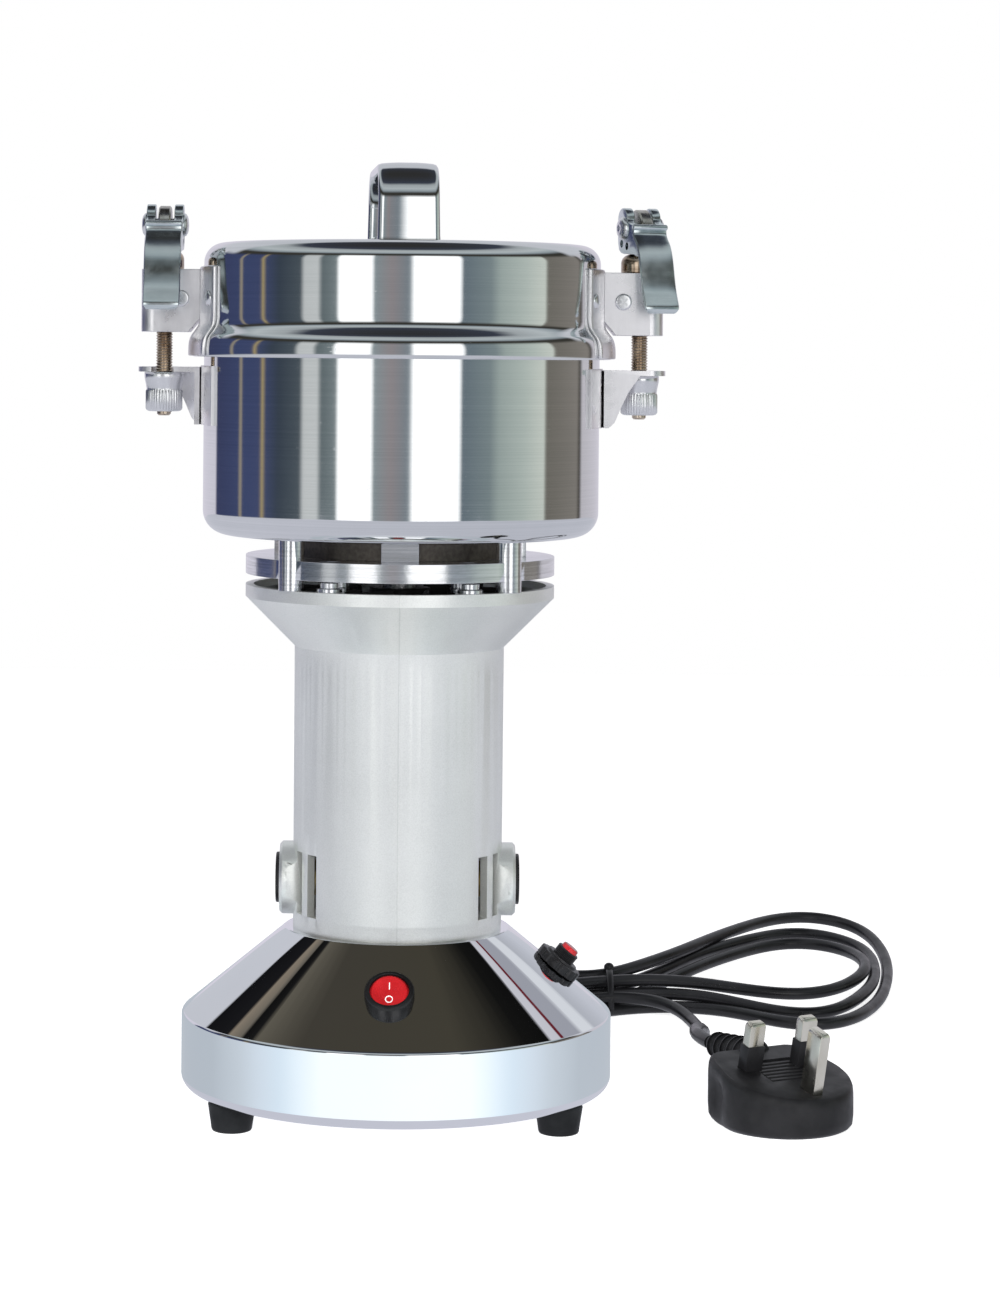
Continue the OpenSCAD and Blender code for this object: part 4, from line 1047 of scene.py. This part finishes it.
def make_relief():
    """Strain relief: a level stem with tapering collars round the cord."""
    stem = [(0.0, -1.5), (6.6, -1.5), (6.4, 0.2), (5.2, 1.0)]
    for i in range(5):
        z = 1.8 + i * 4.6
        r = 6.4 - 0.4 * i
        stem += [(r - 1.5, z)] + arc(r - 0.6, z + 0.8, 0.6, 200, 90, 3)
        stem += arc(r - 0.6, z + 2.1, 0.6, 90, 0, 3) + [(r - 0.1, z + 2.6), (r - 1.5, z + 3.1)]
    stem += [(2.75, 25.2), (2.6, 26.2), (0.0, 26.4)]
    relief = turned_by(lathe("relief", stem, 56), 90, "X")
    return placed(moved(relief, y=2 - (PLUG_R - 3), z=20.5), plug_frame())


# Levels of the plug's side: share of its height, growth of the outline, depth of the finger grip
PLUG_RINGS = [(0.0, -2.6, 0.0), (0.05, -1.2, 0.2), (0.12, -0.3, 1.2), (0.30, 0.0, 2.3), (0.52, 0.0, 2.6),
              (0.68, 0.0, 2.0), (0.80, -0.05, 0.6), (0.90, -0.25, 0.1), (0.965, -0.7, 0.0), (1.0, -1.5, 0.0)]


def make_plug():
    """Moulded body with a sloping pin face, its pin pockets and ribbed panel, and the strain relief."""
    slope = math.tan(math.radians(PLUG_TILT))
    rings = [[(x, y, t * (PLUG_H - slope * y)) for x, y in plug_outline(grow, grip)]
             for t, grow, grip in PLUG_RINGS]
    body = placed(lofted("body", rings, 32), plug_frame())
    cutters = [placed(prism("panel", box(-9.5, -10.5, 9.5, 7.2), -0.7, 5), pin_face())]
    cutters += [pin_pocket(x * PIN_PITCH / 2, PIN_ROW, 7.65, 5.3) for x in (-1, 1)]
    cutters.append(pin_pocket(0, PIN_ROW + PIN_PITCH, 4.1, 8.1))
    body = cut_by(body, cutters)
    ribs = []
    for i in range(7):
        outline = box(-8.6, -8.6 + i * 2.5, 8.6, -7.5 + i * 2.5)
        ribs.append(placed(bevel(prism("rib", outline, -0.75, -0.25), 0.15, 1), pin_face()))
    plug = joined("plug_moulding", [body, *ribs, make_relief()])
    return finished(plug, "plug_plastic", "machine", "plug_body")


def pin_body(x, y, size, tip, low=-4):
    """A pin with a chamfered tip, standing on the pin face."""
    across, along, high = size
    rings = []
    for z, shrink in ((low, 0.0), (high - tip, 0.0), (high - tip * 0.4, 0.30), (high, 0.85)):
        corners = box_about(x, y, across - 2 * shrink, along - 2 * shrink)
        rings.append([(*corner, z) for corner in corners])
    return bevel(lofted("pin", rings, 30), 0.22, 2, 30)


def make_pins_of_plug():
    pins = [pin_body(x * PIN_PITCH / 2, PIN_ROW, LINE_PIN, 1.6) for x in (-1, 1)]
    pins.append(pin_body(0, PIN_ROW + PIN_PITCH, EARTH_PIN, 1.8))
    pins = finished(placed(joined("plug_pin_set", pins), pin_face()), "plug_pin", "machine", "plug_pins")
    sleeves = []
    for x in (-1, 1):
        outline = box_about(x * PIN_PITCH / 2, PIN_ROW, LINE_PIN[0] + 0.9, LINE_PIN[1] + 0.9)
        sleeves.append(bevel(prism("sleeve", outline, -4, 9), 0.3, 2))
    sleeves = placed(joined("plug_sleeves", sleeves), pin_face())
    return pins, finished(sleeves, "black_plastic", "machine", "pin_sleeves")


# ---------------------------------------------------------------- build

cord_piece, cord_length = make_cord()
tie_piece = make_tie()
plug_piece = make_plug()
pin_pieces = make_pins_of_plug()
gland_piece = refined("cord_gland", 0.4)

make_base()
make_switch()
make_rocker()
make_breaker()
make_bowl()
make_lid()
make_handle()
make_saddles()
make_bolts()
make_levers()
make_pins()
make_thumb_nuts()
make_screws()
make_washers()
for rounded, width in (("latch_boxes", 0.7), ("ear_left", 0.35), ("ear_right", 0.35), ("rubber_feet", 0.8),
                       ("end_bell", 0.4), ("motor_housing", 0.5), ("brush_caps", 0.4), ("foot_screws", 0.25),
                       ("end_bell_screws", 0.3), ("cooling_fan", 0.3), ("cutter_nut", 0.4)):
    refined(rounded, width)


# ---------------------------------------------------------------- studio

def srgb(*levels):
    """Linear colour of an sRGB level from 0 to 255."""
    return tuple(((v / 255 + 0.055) / 1.055) ** 2.4 if v > 10.3 else v / 255 / 12.92 for v in levels)


CARD_GLOW = 1.15


def card_material(name):
    """Glow in the mesh's own point colours on the inside of a card; its outside is clear."""
    material = bpy.data.materials.new(name)
    s = NodeTree(material)
    tint = s.add("ShaderNodeVertexColor", layer_name="tint").outputs["Color"]
    outside = s.add("ShaderNodeBsdfTransparent").outputs[0]
    side = s.add("ShaderNodeNewGeometry").outputs["Backfacing"]
    card = s.choose(side, outside, s.glow("ShaderNodeEmission", tint, CARD_GLOW))
    s.join(card, s.add("ShaderNodeOutputMaterial").inputs[0])
    return material


def glossy_card(name, columns):
    """A strip of quads between (lower point, upper point, colour) columns, seen only in reflections."""
    points, tints = [], []
    for low, high, color in columns:
        points += [low, high]
        tints += [color, color]
    faces = [(2 * i, 2 * i + 2, 2 * i + 3, 2 * i + 1) for i in range(len(columns) - 1)]
    card = mesh_object(name, points, faces)
    layer = card.data.color_attributes.new("tint", "FLOAT_COLOR", "POINT")
    for k, color in enumerate(tints):
        layer.data[k].color = (*color, 1)
    card.data.materials.append(card_material(name))
    card.visible_camera = False
    card.visible_diffuse = False
    card.visible_shadow = False
    card.visible_transmission = False


# Painted reflection on the base's cone: glow colours of the card it mirrors, by azimuth on the cone in degrees
# from the front
CONE_TINTS = [(-84, (188, 191, 198)), (-58, (192, 194, 200)), (-57, (18, 18, 20)), (-47.5, (24, 24, 26)),
              (-46.5, (128, 118, 104)), (-42.5, (100, 95, 86)), (-41.5, (16, 16, 16)), (-38.5, (24, 24, 24)),
              (-37, (90, 86, 76)), (-24, (62, 59, 52)), (15, (62, 59, 50)), (25, (46, 44, 38)),
              (34, (18, 18, 17)), (41.5, (14, 14, 14)), (42.5, (190, 190, 196)), (45.8, (186, 186, 192)),
              (46.1, (96, 30, 38)), (47.0, (96, 30, 38)), (47.3, (150, 152, 160)), (54, (150, 152, 160)),
              (56, (205, 208, 212)), (61, (205, 208, 212)), (63, (170, 173, 180)), (74, (185, 188, 196)),
              (86, (190, 192, 200))]
CONE_CARD_Z = 72.0


def mirrored_to_card(degrees, r):
    """Where the camera's view, mirrored by the base's cone at this azimuth and radius, meets the card."""
    out = Vector((math.sin(math.radians(degrees)), -math.cos(math.radians(degrees)), 0))
    z = CONE_TOP + (NECK_R - r) * math.tan(CONE_SLOPE)
    at = out * r + Vector((0, 0, z))
    normal = out * math.sin(CONE_SLOPE) + Vector((0, 0, math.cos(CONE_SLOPE)))
    ray = (at - Vector(CAMERA_AT)).normalized()
    ray = ray - normal * 2 * ray.dot(normal)
    if ray.z < 0.02:
        ray.z = 0.02
    reach = (CONE_CARD_Z - at.z) / ray.z
    return tuple(at + ray * min(reach, 400))


def blended(stops, place):
    """Levels at a place between (place, levels) stops."""
    for (p0, a), (p1, b) in zip(stops, stops[1:]):
        if place <= p1:
            t = (place - p0) / (p1 - p0)
            return [u + (v - u) * t for u, v in zip(a, b)]
    return stops[-1][1]


def make_cone_card():
    """Strips over the cone, laid where the camera's mirrored view meets them."""
    columns = []
    for (start, _), (end, _) in zip(CONE_TINTS, CONE_TINTS[1:]):
        steps = max(1, round((end - start) / 3))
        for i in range(steps):
            degrees = start + (end - start) * i / steps
            inner = mirrored_to_card(degrees * 0.93, NECK_R - 1)
            outer = mirrored_to_card(degrees * 1.04, BASE_R + 3)
            columns.append((inner, outer, srgb(*blended(CONE_TINTS, degrees))))
    glossy_card("cone_card", columns)


SKIRT_TINTS = [(0, (250, 255, 255)), (24, (248, 255, 255)), (31, (232, 244, 250)), (38, (213, 228, 238)),
               (47, (206, 217, 226)), (56, (194, 203, 210)), (72, (180, 188, 195)), (140, (178, 184, 192))]


def make_skirt_card():
    """Inside of a pale drum round the base: the skirt mirrors it instead of the plug and the cord."""
    radius, low, high = 98, 0.5, 40.0
    columns = []
    for degrees in range(-135, 136, 3):
        x = radius * math.sin(math.radians(degrees))
        y = -radius * math.cos(math.radians(degrees))
        columns.append(((x, y, low), (x, y, high), srgb(*blended(SKIRT_TINTS, abs(degrees)))))
    glossy_card("skirt_card", columns)


def make_floor():
    """Pale floor: it glows to the camera, and shows one plain tone in the reflections."""
    size = 1.6
    mesh = bpy.data.meshes.new("floor")
    mesh.from_pydata([(x, y, 0) for x, y in box(-size, -size, size, size)], [], [(0, 1, 2, 3)])
    floor = link("floor", mesh)
    s = Shader("floor", 0.0, 0.6, Specular_IOR_Level=0.1)
    tinted(s, s.noise(3, 2), (0.93, 0.93, 0.93), (0.95, 0.95, 0.95))
    path = s.add("ShaderNodeLightPath").outputs
    s.shader.inputs["Emission Color"].default_value = (1, 1, 1, 1)
    s.join(s.math("MULTIPLY", path["Is Camera Ray"], 0.75), s.shader.inputs["Emission Strength"])
    mirrored = s.glow("ShaderNodeEmission", (0.60, 0.61, 0.68))
    s.join(s.choose(path["Is Glossy Ray"], s.shader.outputs["BSDF"], mirrored), s.out.inputs["Surface"])
    floor.data.materials.append(s.material)


# What the polished parts mirror above the front of the room, by the sine of the height
CEILING_FRONT = [(0.34, (0.026, 0.025, 0.020)), (0.50, (0.030, 0.029, 0.026)), (0.59, (0.22, 0.25, 0.27)),
                 (0.68, (0.34, 0.37, 0.38)), (0.80, (0.26, 0.28, 0.29)), (0.86, (0.030, 0.035, 0.05)),
                 (1.0, (0.022, 0.022, 0.022))]
PALE_ROOM = (0.40, 0.41, 0.44)      # above the back of the room, and below the level of the floor

# What the polished parts mirror round the room, by degrees from its front
BANDS = [(-180, (0.449, 0.435, 0.49)), (-136, (0.449, 0.435, 0.49)), (-134, (0.031, 0.037, 0.082)),
         (-108, (0.034, 0.045, 0.102)), (-106, (0.286, 0.245, 0.163)), (-104, (0.034, 0.046, 0.105)),
         (-89, (0.037, 0.048, 0.105)), (-87, (0.313, 0.245, 0.109)), (-85, (0.037, 0.048, 0.099)),
         (-75, (0.030, 0.040, 0.056)), (-60, (0.052, 0.066, 0.078)), (-58, (0.394, 0.408, 0.408)),
         (-49, (0.408, 0.422, 0.422)), (-47, (0.088, 0.109, 0.116)), (-38, (0.136, 0.163, 0.17)),
         (-36, (1, 1, 1)), (-17.5, (1, 1, 1)), (-15.5, (0.177, 0.211, 0.224)), (-6, (0.204, 0.184, 0.19)),
         (4, (0.143, 0.17, 0.19)), (7, (1, 1, 1)), (33, (1, 1, 1)), (35, (0.102, 0.129, 0.15)),
         (52, (0.15, 0.184, 0.19)), (58, (0.245, 0.286, 0.272)), (75, (0.326, 0.367, 0.34)),
         (90, (0.422, 0.449, 0.408)), (92, (0.116, 0.109, 0.095)), (122, (0.163, 0.15, 0.136)),
         (126, (0.034, 0.031, 0.027)), (129, (0.381, 0.367, 0.394)), (180, (0.449, 0.435, 0.49))]


def make_world():
    """White to the camera, a front-weighted soft light, and bands with a dark ceiling in the reflections."""
    world = bpy.data.worlds.new("studio")
    bpy.context.scene.world = world
    w = NodeTree(world)
    split = w.add("ShaderNodeSeparateXYZ")
    w.join(w.add("ShaderNodeTexCoord").outputs["Generated"], split.inputs[0])
    x, y, z = split.outputs
    azimuth = w.math("ARCTAN2", x, w.math("MULTIPLY", y, -1.0))
    place = w.math("ADD", w.math("MULTIPLY", azimuth, 1 / (2 * math.pi)), 0.5)
    bands = w.ramp(place, [((degrees + 180) / 360, color) for degrees, color in BANDS])
    behind = w.ramp(y, [(0.42, 0.0), (0.52, 1.0)])
    ceiling = w.mix(behind, w.ramp(z, CEILING_FRONT), PALE_ROOM)
    high = w.ramp(z, [(0.30, 0.0), (0.42, 1.0)])
    low = w.ramp(w.math("MULTIPLY", z, -1.0), [(0.10, 0.0), (0.16, 1.0)])
    mirrored = w.mix(low, w.mix(high, bands, ceiling), PALE_ROOM)
    front = w.math("ADD", w.math("MULTIPLY", y, -0.5), 0.5)
    front = w.math("ADD", front, w.math("MULTIPLY", z, 0.25), True)
    plain = w.ramp(front, [(0.0, 0.16), (0.45, 0.16), (0.8, 0.30), (1.0, 0.40)])
    path = w.add("ShaderNodeLightPath").outputs
    kind = "ShaderNodeBackground"
    lit = w.choose(path["Is Glossy Ray"], w.glow(kind, plain), w.glow(kind, mirrored, 1.55))
    seen = w.choose(path["Is Camera Ray"], lit, w.glow(kind, (1, 1, 1)))
    w.join(seen, w.add("ShaderNodeOutputWorld").inputs[0])


def area_light(name, place, aim, size, power):
    data = bpy.data.lights.new(name, "AREA")
    data.shape = "RECTANGLE"
    data.size, data.size_y = size
    data.energy = power
    lamp = bpy.data.objects.new(name, data)
    bpy.context.scene.collection.objects.link(lamp)
    lamp.location = place
    lamp.rotation_mode = "QUATERNION"
    lamp.rotation_quaternion = (Vector(aim) - Vector(place)).to_track_quat("-Z", "Y")
    lamp.visible_glossy = False


make_cone_card()
make_skirt_card()
make_floor()
make_world()
area_light("front", (-0.05, -1.45, 0.50), (0, 0, 0.16), (0.5, 0.7), 34)
bpy.context.scene.view_settings.view_transform = "Standard"
